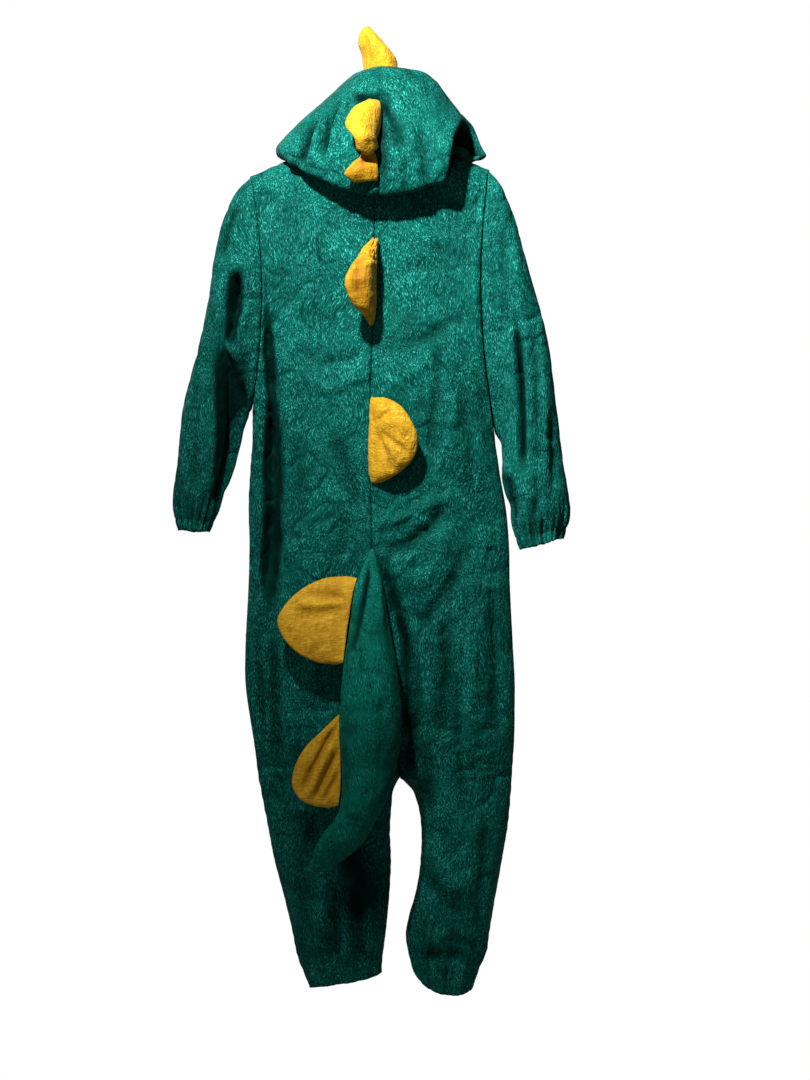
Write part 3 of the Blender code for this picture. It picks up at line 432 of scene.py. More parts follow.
def addCloth(name, grid, ring, finish, pressed, lining=True):
    rows, columns = grid.shape[:2]
    index = np.arange(rows * columns).reshape(rows, columns)
    right = np.roll(index, -1, 1) if ring else index[:, 1:]
    left = index if ring else index[:, :-1]
    faces = np.stack((left[:-1], right[:-1], right[1:], left[1:]), axis=2).reshape(-1, 4)
    a, b, d = grid.reshape(-1, 3)[faces[:, 0]], grid.reshape(-1, 3)[faces[:, 1]], grid.reshape(-1, 3)[faces[:, 3]]
    heart = grid.mean(axis=1, keepdims=True)
    heart = np.broadcast_to(heart if ring else heart * (1, 0, 1), grid.shape).reshape(-1, 3)[faces[:, 0]]
    if np.sum(np.cross(b - a, d - a) * (a - heart)) < 0:
        faces = faces[:, ::-1]
    mesh = bpy.data.meshes.new(name)
    mesh.from_pydata([tuple(p) for p in grid.reshape(-1, 3) * mm], [], [tuple(f) for f in faces.tolist()])
    piece = bpy.data.objects.new(name, mesh)
    bpy.context.scene.collection.objects.link(piece)
    mesh.materials.append(finish)
    mesh.materials.append(insideCloth if lining else finish)
    # Painted shade on the pile, kept as an attribute that the finish reads
    place = mesh.attributes.new("pressed", "FLOAT", "POINT")
    place.data.foreach_set("value", pressed.ravel())
    solid = piece.modifiers.new("wall", "SOLIDIFY")
    solid.thickness, solid.offset = garment["wall"] * mm, -1.0
    solid.material_offset = 1
    for polygon in mesh.polygons:
        polygon.use_smooth = True
    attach(piece, "root")
    return piece


# Body panels: two backs and two fronts, joined at the centre, shoulder, side and inner leg
panelMesh = {"columns": 46, "armRows": 84, "trunkRows": 78, "seatRows": 30, "legRows": 66,
             "crumple": {"back": 1.0, "front": 0.9}, "ankleWaves": 6,
             "ankleRipples": 15, "ankleDepth": 3.5}
panelFolds = {
    "back": (
        (3.2, -5, 0.2, -150, -130, -139, -230, -132, -310), (4.5, -15, 0, -135, -270, -127, -400, -124, -490),
        (9.5, -21, 0, -128, -390, -125, -500, -127, -570, -132, -640),
        (5, 3.5, 0, -142, -330, -139, -480, -144, -640, -147, -800), (9, 4, 0.2, -112, -380, -108, -520, -112, -680),
        (2.4, -4.5, 0, 127, -130, 129, -230, 130, -330, 128, -420), (7, 2.9, 0, 118, -160, 119, -300, 120, -440),
        (4.5, -6.5, 0, -146, -640, -143, -720, -138, -800), (6, -7, 0.2, -124, -660, -122, -760, -117, -850),
        (8, 3, 0, -108, -700, -102, -800, -98, -880), (10, -3.5, 0, -100, -790, -85, -860, -72, -920),
        (6, 4.8, 0.3, -4, -545, 28, -535, 66, -515, 100, -505), (7, -6, 0.2, 0, -570, 34, -566, 62, -546, 84, -514),
        (7, 4.6, 0, 8, -590, 52, -616, 72, -586, 86, -536), (8, -5.5, 0.1, 24, -650, 58, -656, 92, -606, 108, -556),
        (6, -6, 0.3, 12, -600, 32, -660, 48, -720, 52, -790), (6, 3.5, -0.2, 20, -590, 44, -655, 62, -720, 66, -800),
        (8, -6, 0, 78, -640, 82, -720, 74, -810), (8, 4.5, 0, 106, -640, 112, -740, 108, -840),
        (7, -6, 0, 134, -600, 138, -700, 139, -820), (7, -5, 0.2, 94, -700, 97, -800, 104, -900),
        (7, -5, 0, 56, -800, 62, -850, 58, -900), (3, 2.6, 0, 104, -620, 122, -615, 150, -622),
        (9, 3.5, 0, -118, -560, -84, -600, -60, -612), (8, -3.8, 0, -60, -420, -34, -478, -22, -540),
        (6, -3.8, 0.2, -96, -330, -66, -350, -32, -345, -14, -330), (6, 2.9, 0, -100, -360, -60, -385, -30, -372),
        (6, -2.9, 0, -110, -300, -78, -290, -50, -305), (7, -2.9, 0.2, -70, -190, -66, -240, -68, -290),
        (5, -2.9, 0, 16, -250, 44, -236, 84, -236), (5, -3.8, 0.2, 20, -330, 60, -318, 86, -300, 112, -294),
        (7, 3.2, 0, 24, -372, 58, -352, 76, -318), (6, -3.8, 0, 68, -300, 74, -360, 60, -470),
        (8, 2.9, 0, 84, -330, 92, -400, 82, -480), (4, -2.9, 0, 60, -200, 80, -220, 112, -224),
        (7, -3.2, 0, 96, -380, 108, -440, 112, -520), (7, -2.9, 0, -104, -440, -90, -500, -94, -560),
        (8, -3.8, 0, -36, -520, -48, -580, -60, -640), (8, 3.2, 0, -96, -640, -80, -700, -74, -760),
        (10, -6, -0.4, 32, -905, 56, -962, 92, -1002, 112, -1016), (10, 5, 0.3, 50, -915, 76, -955, 104, -990),
        (6, 3.5, -0.3, 60, -1040, 90, -1026, 116, -1040), (5, -3.5, 0, 52, -1056, 84, -1050, 110, -1062),
        (7, -5, 0, 128, -880, 124, -960, 112, -1040), (8, 3.5, 0, -76, -975, -66, -1015, -72, -1062),
        (6, -4, 0, -58, -960, -52, -1010, -50, -1060), (6, 3.5, 0, -46, -990, -38, -1030, -36, -1066),
        (5, -4.5, 0.2, -24, -960, -22, -1020, -18, -1070), (5, 3.5, 0, -8, -950, -6, -1010, -6, -1066),
        (8, -3.5, 0, -94, -900, -92, -960, -84, -1030),
    ),
    # Painted shade marks: the dark pleats down the left side, the armhole lines and an ankle fold, and painted cast
    # shadow beside and below the tail
    "pressed": (
        (5.5, 0.97, 0, -2, -560, 17, -618, 30, -678, 35, -740, 36, -810), (10, 0.8, 0, 38, -750, 42, -800, 34, -850),
        (4, 0.5, 0, -10, -566, 6, -600, 16, -650), (4.5, 1.1, 0, -131, -280, -126, -400, -125, -490),
        (10, 1.4, 0, -127, -390, -125, -500, -127, -575, -132, -670),
        (2.2, 0.8, 0, -152, -130, -145, -190, -139, -270), (1.8, 0.85, 0, 127, -130, 129, -230, 129, -330, 130, -440),
        (28, 0.95, 0, -44, -912, -24, -960, -6, -1020), (5, 0.45, 0, 46, -1046, 62, -1060, 80, -1050),
        (10, 0.5, 0, -96, -878, -84, -905, -76, -925),
    ),
    "front": (
        (10, -8, 0.2, -132, -200, -128, -400, -126, -640), (9, -6.5, -0.2, 114, -180, 117, -380, 118, -580),
        (12, -2.5, 0, -90, -160, -84, -300, -92, -420), (12, 2.5, 0, 64, -180, 72, -300, 60, -430),
        (12, 3.5, 0, -70, -420, -64, -560, -60, -720), (12, -4, 0, 56, -380, 66, -560, 72, -740),
        (8, -2.8, 0, -30, -470, -50, -520, -96, -560), (8, -2.4, 0, 20, -420, 58, -450, 104, -440),
        (10, -3.5, 0, -40, -640, -70, -720, -110, -790), (10, -3.5, 0, 50, -660, 80, -740, 130, -800),
        (9, -4.5, 0, -90, -820, -78, -930, -66, -1050), (9, 3, 0, -40, -880, -34, -980, -36, -1060),
        (9, -4.5, 0, 98, -840, 92, -940, 84, -1050), (8, 3, 0, 70, -900, 64, -980, 62, -1050),
        (8, 3, 0, -120, -840, -112, -930, -98, -1010), (9, -3, 0, 140, -700, 146, -820, 134, -930),
    ),
}


def topLine(side, face, x):
    arm, g = arms[side], garment
    tipX, tipZ = arm["tip"]
    reach = np.abs(x - g["neckX"]) / g["neckHalf"]
    bow = np.clip(1 - reach ** 2, 0.0, 1.0)
    low = g["napeZ"] if face == "back" else g["throatZ"]
    neckX = g["neckX"] + math.copysign(g["neckHalf"], tipX)
    t = np.clip((x - neckX) / (tipX - neckX), 0.0, 1.0)
    shoulder = arm["neckZ"] + (tipZ - arm["neckZ"]) * t + g["shoulderArch"] * np.sin(np.pi * t)
    return np.where(reach < 1, arm["neckZ"] + (low - arm["neckZ"]) * bow, shoulder), g["neckDepth"] * np.sqrt(bow)


def ringShape(u, power):
    return np.sqrt(np.clip(1 - np.abs(u) ** power, 0.0, 1.0))


def panelRow(side, face, t, v):
    # One row of a panel from the centre to the side, and how freely it may fold
    g, under = garment, arms[side]["under"][1]
    trunkU = 0.5 * t + 0.5 * np.sin(np.pi * t / 2)
    legU = 0.25 * t + 0.375 * (1 - np.cos(np.pi * t))
    if v <= 1.0:
        tipX, underX = arms[side]["tip"][0], arms[side]["under"][0]
        edge = tipX + (underX - tipX) * v - math.copysign(g["armBow"], tipX) * math.sin(math.pi * v)
        x = g["neckX"] + (edge - g["neckX"]) * trunkU
        zTop, yTop = topLine(side, face, x)
        z = zTop + (under - zTop) * v
        centre = g["neckX"] + (readRows(trunkRows, "centre", z) - g["neckX"]) * ease(v * 2)
        x = centre + (edge - centre) * trunkU
        arm = g["armDepth"] * max(0.0, 1 - (2 * v - 1) ** 2) ** (0.5 + ease((1 - trunkU) / 0.08))
        profile = ringShape(trunkU, 2.4)
        full = readRows(trunkRows, face, z) * profile + arm * (1 - profile) * ease((trunkU - 0.5) / 0.5)
        h = np.minimum(1.0, (zTop - z) / g["shoulderRound"])
        rounding = 1 - (1 - np.sqrt(1 - (1 - h) ** 2)) * (1 - trunkU ** 8 * ease(v * 6))
        y = yTop + (full - yTop) * rounding
        return x, y, z, ease(v * 5) * ease((1 - trunkU) * 12)
    z = under + (g["hemZ"] - under) * (v - 1)
    if z > g["crotchZ"]:
        down = min(1.0, max(0.0, (g["seatZ"] - z) / (g["seatZ"] - g["crotchZ"])))
        fade = math.sqrt(max(0.0, 1 - down ** 2.2))
        turned = ease(down)
        u = trunkU * (1 - turned) + legU * turned
        centre = float(readRows(trunkRows, "centre", z))
        x = centre + (float(readRows(trunkRows, side, z)) - centre) * u
        half = np.where(u < 0.5, ringShape(2 * u - 1, 2.3), 1.0) * ringShape(u, 2.4)
        y = float(readRows(trunkRows, face, z)) * (fade * ringShape(u, 2.4) + (1 - fade) * half)
    else:
        fade, u = 0.0, legU
        inner, outer = float(readRows(legRows, side + "In", z)), float(readRows(legRows, side + "Out", z))
        x = inner + (outer - inner) * u
        ring = ringShape(2 * u - 1, 2.3)
        half = ringShape(u, 2.4) * np.where(u < 0.5, ring, 1.0)
        y = float(readRows(legRows, face, z)) * (half + (ring - half) * ease((g["crotchZ"] - z) / 130))
    calm = ease(u * 8 + fade) * ease((1 - u) * 12)
    low = float(ease((-z - 965) / 85))
    gathers = np.cos(2 * np.pi * (panelMesh["ankleWaves"] * t + 0.35 * np.sin(5 * t)))
    gathers = gathers + 0.55 * np.cos(2 * np.pi * panelMesh["ankleRipples"] * t + 2 * np.sin(9 * t))
    y = y + low * panelMesh["ankleDepth"] * gathers * np.sin(np.pi * u)
    inHem, midHem, outHem = hemDrops[side]
    drop = inHem * (1 - t) * (1 - 2 * t) + 4 * midHem * t * (1 - t) + outHem * t * (2 * t - 1)
    return x, y, z + float(ease((-z - 950) / 140)) * drop, calm


def armSteps():
    return (1 - np.cos(np.pi * np.linspace(0, 1, panelMesh["armRows"] + 1))) / 2


def panelGrid(side, face):
    under, m, g = arms[side]["under"][1], panelMesh, garment
    part = np.linspace(0, 1, m["seatRows"])
    seat = g["seatZ"] + (g["crotchZ"] - g["seatZ"]) * (0.4 * part + 0.6 * np.sin(np.pi / 2 * part))
    heights = np.concatenate((np.linspace(under, g["seatZ"], m["trunkRows"])[1:-1], seat,
                              np.linspace(g["crotchZ"] - 3.0, g["hemZ"], m["legRows"])))
    rows = list(armSteps()) + [1 + (z - under) / (g["hemZ"] - under) for z in heights]
    t = np.linspace(0.0, 1.0, m["columns"] + 1)
    sign = -1.0 if face == "back" else 1.0
    grid, calms = [], []
    for v in rows:
        x, y, z, calm = panelRow(side, face, t, v)
        grid.append(np.stack((x, sign * y, np.broadcast_to(z, x.shape)), axis=1))
        calms.append(np.broadcast_to(calm, x.shape))
    grid, calms = np.array(grid), np.array(calms)
    if face == "back":  # the front halves meet edge to edge
        grid[:, :, 0] += math.copysign(g["halfGap"], arms[side]["tip"][0])
    grid[:, :, 1] += sign * g["halfGap"]
    heart = grid.mean(axis=1, keepdims=True) * (1, 0, 1)
    shift = calms * creased(panelFolds[face], grid[:, :, 0], grid[:, :, 2])
    grid[:, :, 1] += sign * shift
    normals = outwardNormals(grid, False, heart)
    soft = crumpled(grid, m["crumple"][face], 1.0 if face == "back" else 5.0) * (0.25 + 0.75 * calms)
    soft += seamed(grid, ("left", "right", "top"))
    across, down = lengthways(grid, 1), lengthways(grid, 0)
    soft *= 1 - np.exp(-((across[:, -1:] - across) ** 2 + down ** 2) / 80)  # calm at the shoulder tip
    near = np.exp(-(lengthways(grid, 1) / 8.0) ** 2) * (grid[:, :, 2] > g["crotchZ"] - 1)
    normals[:, :, 0] *= 1 - near  # the centre seam stays shut down to the crotch
    marks = panelFolds["pressed"] if face == "back" else ()
    return grid + normals * soft[:, :, None], paintShade(shift + soft, marks, grid[:, :, 0], grid[:, :, 2])


grids = {(face, side): panelGrid(side, face) for side in arms for face in ("back", "front")}
panels = {}
for (face, side), (grid, pressed) in grids.items():
    piece = addCloth(f"cloth_{face}_{side}", grid, False, greenCloth, pressed)
    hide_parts(f"{face}_{side}")
    panels[(face, side)] = piece
print("stage: body panels")

# Sleeves: rings from the armhole to the gathered cuff, upper edge and under edge as x and z
sleeveMesh = {"rows": 112, "cuffWaves": 12, "cuffRipples": 27, "cuffDepth": 2.2, "crumple": 1.0}
sleeveRings = {
    "left": ((-171, -145, -155, -411, 30, 0), (-186, -175, -157, -416, 31, 2), (-197, -222, -159, -422, 32, 4),
             (-205, -276, -161, -429, 33, 6), (-215, -327, -163, -437, 33, 7), (-226, -363, -165, -447, 32, 8),
             (-234, -399, -168, -459, 31, 8), (-239, -435, -172, -474, 30, 8), (-243, -471, -178, -490, 28, 8),
             (-246, -501, -187, -509, 26, 8), (-245, -521, -195, -528, 22, 8), (-242, -537, -201, -541, 19, 8),
             (-238, -549, -205, -551, 23, 8)),
    "right": ((147, -135, 145, -441, 29, -1), (162, -171, 147, -447, 30, -3), (173, -210, 147, -454, 31, -6),
              (187, -263, 147, -462, 32, -10), (197, -297, 147, -470, 32, -14), (205, -335, 147, -478, 32, -18),
              (211, -383, 147, -487, 31, -22), (216, -429, 149, -497, 30, -25), (221, -465, 152, -508, 29, -27),
              (226, -501, 157, -522, 27, -29), (227, -528, 160, -541, 23, -30), (222, -546, 165, -558, 20, -30),
              (218, -559, 171, -572, 24, -30)),
}
sleeveFolds = {
    "left": (
        (10, -16, 0, -170, -236, -170, -262, -173, -300), (5.5, -13, 0, -171, -244, -173, -295, -179, -334),
        (5, 4, 0, -160, -215, -156, -270, -160, -320), (5, 4, 0.4, -184, -240, -189, -290, -192, -350),
        (13, -19, -0.35, -186, -318, -174, -372, -169, -430, -177, -490, -192, -536),
        (7, 5, 0.3, -196, -300, -196, -400, -198, -520), (5, 7, -0.5, -190, -312, -170, -350, -156, -388, -152, -430),
        (7, -3.5, 0, -216, -350, -222, -440, -220, -520), (7, 2.5, 0, -206, -280, -214, -360, -210, -440),
        (5, -3, 0, -172, -160, -184, -190, -188, -230), (6, -3.5, 0, -178, -470, -190, -500, -204, -520),
        (6, 2.5, 0, -232, -430, -232, -480, -226, -520),
    ),
    "right": (
        (4.5, -12, 0, 164, -285, 169, -380, 172, -490), (7, 3, 0, 174, -310, 181, -400, 184, -490),
        (7, 3, 0, 192, -300, 198, -400, 200, -500), (5, -3.5, 0, 186, -290, 190, -360, 192, -440),
        (6, -4, 0, 205, -400, 210, -460, 206, -520), (6, -3.5, 0, 150, -180, 152, -250, 152, -320),
        (7, 2.5, 0, 160, -200, 168, -260, 172, -320), (5, -3.5, 0, 152, -480, 160, -505, 164, -540),
        (5, -3.5, 0, 186, -480, 190, -510, 186, -535), (4, -2.4, 0, 170, -420, 196, -440, 214, -436),
        (4, -2, 0, 158, -356, 186, -372, 206, -366),
    ),
}


# Painted shade in the sleeves' folds, the left sleeve's pocket and recess, and by the cuffs
sleevePaintedShade = {
    "left": ((8, 1.2, 0, -170, -240, -174, -290, -180, -335),
             (7, 1.3, 0, -190, -315, -188, -380, -188, -440, -196, -530),
             (14, 0.8, 0, -174, -325, -166, -400, -164, -440, -180, -510),
             (5, 0.45, 0, -166, -150, -178, -190, -184, -230),
             (5, 0.7, 0, -212, -556, -222, -554, -236, -552)),
    "right": ((3.5, 0.8, 0, 165, -300, 169, -380, 172, -480),
              (7, 0.7, 0, 148, -470, 154, -510, 160, -550), (6, 0.6, 0, 180, -500, 186, -540, 188, -570),
              (5, 0.5, 0, 204, -500, 206, -535, 208, -565)),
}


def sleeveRing(ring, angles):
    ox, oz, ix, iz, depth, y = ring
    cos, sin = np.cos(angles), np.sin(angles)
    return np.stack(((ox + ix) / 2 + (ox - ix) / 2 * cos, y + depth * sin, (oz + iz) / 2 + (oz - iz) / 2 * cos), axis=1)


def sleeveGrid(side):
    n = panelMesh["armRows"]
    hole = []
    for face, sign, rows in (("back", -1.0, range(n + 1)), ("front", 1.0, range(n - 1, 0, -1))):
        for k in rows:
            x, y, z, calm = panelRow(side, face, np.array([1.0]), armSteps()[k])
            hole.append((x[0], sign * y[0], z[0]))
    out = math.copysign(1.0, arms[side]["tip"][0])
    hole = np.array(hole) - (out * 1.4, 0.0, 0.0)
    angles = -np.pi * np.arange(2 * n) / n
    rings = np.array([hole] + [sleeveRing(ring, angles) for ring in sleeveRings[side]])
    grid = blendRows(rings, sleeveMesh["rows"])
    back = np.clip(-np.sin(angles) * 2.5, 0.0, 1.0)[None, :]
    down = np.linspace(0, 1, len(grid))[:, None]
    x, z = grid[:, :, 0], grid[:, :, 2]
    shift = creased(sleeveFolds[side], x, z) * back * ease(down * 12) * ease((1 - down) * 9)
    heart = grid.mean(axis=1, keepdims=True)
    normals = outwardNormals(grid, True, heart)
    uneven = crumpled(grid, sleeveMesh["crumple"], 9.0 if side == "left" else 13.0)
    soft = shift + uneven * ease(down * 14) * (1 - 0.5 * down)
    front = np.clip(np.sin(angles) * 2.5, 0.0, 1.0)[None, :]
    soft += front * ease(down * 8) * 2.5 * np.sin(x / 11.0 + z / 47.0) * ease((1 - down) * 6)
    around = np.arange(2 * n)[None, :] / (2 * n)
    gathers = np.cos(2 * np.pi * (sleeveMesh["cuffWaves"] * around + 0.3 * np.sin(2 * np.pi * around * 3)))
    gathers = gathers + 0.5 * np.cos(2 * np.pi * sleeveMesh["cuffRipples"] * around)
    soft += sleeveMesh["cuffDepth"] * gathers * ease((down - 0.80) / 0.16)
    along = lengthways(grid, 0)
    soft -= (2.4 - 2.2 * ((1 + np.cos(angles)) / 2) ** 10)[None, :] * np.exp(-(along / 4.0) ** 2)
    soft -= 1.2 * np.exp(-((along[-1:] - along - 14.0) / 2.2) ** 2)
    pressed = paintShade(soft * ease(down * 20), sleevePaintedShade[side], x, z) * np.maximum(back, 0.35)
    return grid + normals * soft[:, :, None], pressed


for side in arms:
    grid, pressed = sleeveGrid(side)
    piece = addCloth(f"cloth_sleeve_{side}", grid, True, greenCloth, pressed)
    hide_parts(f"sleeve_{side}")
print("stage: sleeves")

# Hood: rings from the crown seam to the tucked edge, then the neck seam
hoodMesh = {"across": 70, "rows": 92, "seamX": 2.0, "neckSweep": 160.0, "crumple": 0.8}
hoodRings = {"columns": ("zb", "zs", "zf", "left", "right", "back", "front", "sweep"), "rows": (
    (4, 5.8, 4, 2, 2, 28, 45, 126), (1, 4.4, 2, -9, 33, 36, 52, 126), (-6, 0, -2, -26, 55, 44, 57, 126),
    (-18, -9, -10, -38, 68, 52, 61, 126), (-38, -24, -24, -54, 80, 61, 64, 126), (-62, -44, -42, -76, 95, 69, 66, 126),
    (-90, -64, -60, -99, 114, 76, 66, 126), (-118, -80, -78, -115, 121, 80, 65, 127),
    (-138, -92, -90, -123, 126, 80, 63, 129), (-150, -100, -96, -121, 130, 76, 61, 132),
    (-155, -104, -99, -115, 125, 70, 58, 136), (-150, -105, -100, -107, 117, 63, 54, 141),
    (-116, -88, -86, -80, 82, 46, 44, 150))}
hoodFolds = (
    (5.5, 8.5, -0.45, -32, -26, -47, -60, -58, -104), (5, -11, 0, -42, -34, -58, -68, -70, -112),
    (5.5, 8, -0.45, -58, -44, -72, -80, -84, -120), (5, -9, 0, -74, -58, -86, -90, -96, -122),
    (5, 5, -0.3, -90, -68, -100, -98, -108, -122), (6, -9, 0, -34, -44, -16, -38, 4, -36, 18, -52),
    (6, -5, 0.2, 8, -40, 24, -66, 36, -104), (7, 2.5, 0, -30, -60, -26, -100, -22, -140),
    (5.5, 9, 0.6, 104, -56, 86, -82, 74, -152), (14, -27, -0.55, 112, -54, 100, -84, 92, -156),
    (7, -4.5, 0, 48, -70, 56, -110, 58, -150), (8, 4, 0, 64, -56, 74, -80, 70, -140),
    (5, -3.5, 0, 34, -110, 36, -130, 34, -156), (10, 2.5, 0, 20, -20, 50, -30, 76, -60),
    (6, -2.5, 0, 30, 0, 56, -14, 72, -30),
)


# Painted shade in the hood's right-hand hollow and under its folds, and painted shadow beside the crest spike
hoodPaintedShade = (
    (15, 1.3, -0.3, 114, -46, 100, -84, 92, -170), (12, 0.8, 0, 106, -130, 96, -140, 84, -154),
    (13, 0.85, 0, 110, -60, 116, -96, 112, -160), (12, 0.9, 0, 120, -150, 100, -152, 70, -162),
    (6, 0.85, 0, -2, -32, 6, -80, 8, -156), (5, 0.55, 0, 4, -34, 14, -64, 27, -108),
    (4.5, 0.7, 0, -36, -34, -18, -34, 4, -42), (4.5, 0.4, 0, -44, -34, -58, -72, -66, -104),
    (4, 0.35, 0, -78, -60, -88, -90, -98, -114),
)


# The right side of the hood curls in and leaves a hollow
hoodHollow = ((15, 32, -0.2, 122, -56, 108, -94, 98, -158),)


def hoodGrid(side):
    c = np.linspace(0.0, 1.0, hoodMesh["across"] + 1)
    rings = []
    for zb, zs, zf, left, right, back, front, sweep in hoodRings["rows"]:
        theta = np.radians(c * sweep)
        cos = np.cos(theta)
        x = hoodMesh["seamX"] + ((left if side == "left" else right) - hoodMesh["seamX"]) * np.sin(theta)
        y = np.where(cos > 0, -back * cos, -front * cos)
        z = zs + (np.where(cos > 0, zb, zf) - zs) * cos ** 2
        rings.append(np.stack((x, y, z), axis=1))
    theta = np.radians(c * hoodMesh["neckSweep"])
    x = garment["neckX"] + (-1.0 if side == "left" else 1.0) * garment["neckHalf"] * np.sin(theta) * 0.9999
    zBack, depth = topLine(side, "back", x)
    zFront, depth = topLine(side, "front", x)
    y = np.where(theta < np.pi / 2, -depth, depth)
    neck = np.stack((x, y, np.where(theta < np.pi / 2, zBack, zFront) + 1.8 * np.sin(theta) ** 2), axis=1)
    away = np.stack((x - garment["neckX"], y * 1.6, np.full_like(x, 18.0)), axis=1)
    rings.append(neck + 0.7 * away / np.linalg.norm(away, axis=1, keepdims=True))
    grid = blendRows(np.array(rings), hoodMesh["rows"])
    heart = np.broadcast_to(np.array((2.0, 0.0, -90.0)), grid.shape)
    normals = outwardNormals(grid, False, heart)
    down = np.linspace(0, 1, len(grid))[:, None]
    free = ease(down * 12) * ease((0.93 - down) * 12) * ease((0.15 - grid[:, :, 1] / 60))
    shift = creased(hoodFolds, grid[:, :, 0], grid[:, :, 2]) * free
    soft = shift + crumpled(grid, hoodMesh["crumple"], 21.0) * ease(down * 10) * ease((1 - down) * 8)
    soft += seamed(grid, ("left",), 1.6, 3.4) * ease(down * 20)
    edge = lengthways(grid, 1)
    edge = edge[:, -1:] - edge
    soft += (0.8 * np.exp(-(edge / 8.0) ** 4) - 0.8 * np.exp(-((edge - 14.0) / 2.0) ** 2)) * ease(down * 12)
    out = grid + normals * soft[:, :, None]
    out[:, :, 0] += (-1.0 if side == "left" else 1.0) * garment["halfGap"]
    faced = ease(-grid[:, :, 1] / 30)
    out[:, :, 1] += creased(hoodHollow, grid[:, :, 0], grid[:, :, 2]) * faced * ease((0.93 - down) * 12)
    return out, paintShade(soft, hoodPaintedShade, grid[:, :, 0], grid[:, :, 2]) * faced


hoods = {}
for side in arms:
    grid, pressed = hoodGrid(side)
    piece = addCloth(f"cloth_hood_{side}", grid, False, greenCloth, pressed)
    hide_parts(f"hood_{side}")
    hoods[side] = piece
print("stage: hood")


def clothTree(thing):
    mesh = thing.data
    return BVHTree.FromPolygons([v.co.copy() for v in mesh.vertices], [tuple(p.vertices) for p in mesh.polygons])


def seatFinder(things):
    # Depth of the nearest cloth seen from the back at one x and z
    trees = [clothTree(thing) for thing in things]

    def depthAt(x, z):
        hits = [tree.ray_cast(Vector((x * mm, -1.0, z * mm)), Vector((0, 1, 0)))[0] for tree in trees]
        hits = [hit.y for hit in hits if hit is not None]
        return min(hits) / mm if hits else -45.0

    return depthAt


onBack = seatFinder([panels[("back", side)] for side in arms])
onHood = seatFinder(list(hoods.values()))

# Tail: stuffed, two halves sewn along its spiked edge; left edge and right edge as x and z, half depth
tail = {"rings": 96, "around": 64, "stations": 24, "bendFrom": 16, "bendLift": 0.35, "lumps": 1.1, "rows": (
    (-8.5, -571, -3.5, -572, 3), (-17, -588, 1, -592, 7), (-27, -614, 8, -620, 14), (-33, -647, 14, -656, 20),
    (-38, -686, 21, -695, 26), (-43, -728, 26, -734, 30), (-45, -767, 29, -772, 32), (-44, -806, 25, -815, 32),
    (-43, -840, 16, -855, 30), (-46, -876, 0, -890, 26), (-56, -896, -19, -920, 21), (-67, -914, -42, -940, 15),
    (-77, -933, -62, -951, 9), (-84, -948, -79, -956, 3)),
    # Painted shade along the tail's inner fold and down its sides
    "pressed": (
        (3.2, 0.9, 0, -8, -576, -14, -618, -23, -658, -35, -700),
        (9, 0.55, 0, 8, -600, 20, -680, 27, -760, 14, -850, -16, -912),
        (9, 0.35, 0, -40, -760, -40, -820, -42, -866)),
    "folds": (
        (4, -5, 0, -9, -572, -14, -612, -22, -650, -33, -700), (4, 2, 0, -3, -575, 2, -620, 6, -670),
        (4, -2.5, 0, 6, -600, 12, -650, 18, -700), (4, -3, 0, -44, -884, -32, -886, -18, -894),
        (10, 5.5, 0, -80, -938, -62, -912, -46, -898), (10, 1.6, 0, -30, -740, -26, -790, -30, -840),
        (7, -2.2, 0, 4, -740, 6, -800, 0, -850),
        (5, -2, 0, -20, -870, -8, -850, 6, -850))}


def tailPath():
    rows = np.array(tail["rows"], float)
    s = np.linspace(0, len(rows) - 1, tail["stations"])
    stations = glide(np.arange(len(rows), dtype=float), rows, s)
    middles = []
    for lx, lz, rx, rz, depth in stations:
        x, z = (lx + rx) / 2, (lz + rz) / 2
        middles.append(min(onBack(x + dx, z + dz) for dx in (-12, 0, 12) for dz in (-6, 6)) - depth - 0.6)
    lowest = min(middles)
    place = middles.index(lowest)
    settled = [min(y, lowest + tail["bendLift"] * max(0.0, k - tail["bendFrom"])) if k > place else y
               for k, y in enumerate(middles)]
    return stations, np.array(settled)


def buildTail(stations, settled):
    steps = np.arange(float(tail["stations"]))
    fine = glide(steps, np.column_stack((stations, settled)), np.linspace(0, steps[-1], tail["rings"]))
    a = 2 * np.pi * np.arange(tail["around"]) / tail["around"]
    left = fine[:, (0, 5, 1)][:, None, :]
    right = fine[:, (2, 5, 3)][:, None, :]
    depth = fine[:, 4][:, None]
    grid = (left + right) / 2 + (left - right) / 2 * np.cos(a)[None, :, None]
    grid[:, :, 1] -= depth * np.sin(a)[None, :]
    normals = outwardNormals(grid, True, grid.mean(axis=1, keepdims=True))
    near = np.clip(np.sin(a) * 2.0, 0.0, 1.0)[None, :]
    size = np.minimum(1.0, depth / 14.0)
    soft = creased(tail["folds"], grid[:, :, 0], grid[:, :, 2]) * near * size
    soft += crumpled(grid, tail["lumps"], 31.0) * size * 0.6
    for middle in (0.0, np.pi):
        turn = np.abs(np.angle(np.exp(1j * (a - middle))))[None, :]
        soft -= 1.6 * size * np.exp(-(turn * np.maximum(depth, 6.0) / 4.0) ** 2)
    pressed = paintShade(soft, tail["pressed"], grid[:, :, 0], grid[:, :, 2]) * near
    pressed = np.concatenate((pressed[:1], pressed, pressed[-1:]))
    grid = grid + normals * soft[:, :, None]
    caps = [grid[k].mean(axis=0) for k in (0, -1)]
    grid = np.concatenate((np.broadcast_to(caps[0], (1,) + grid.shape[1:]), grid,
                           np.broadcast_to(caps[1], (1,) + grid.shape[1:])))
    return addStuffed("cloth_tail", grid, True, tailCloth, pressed)


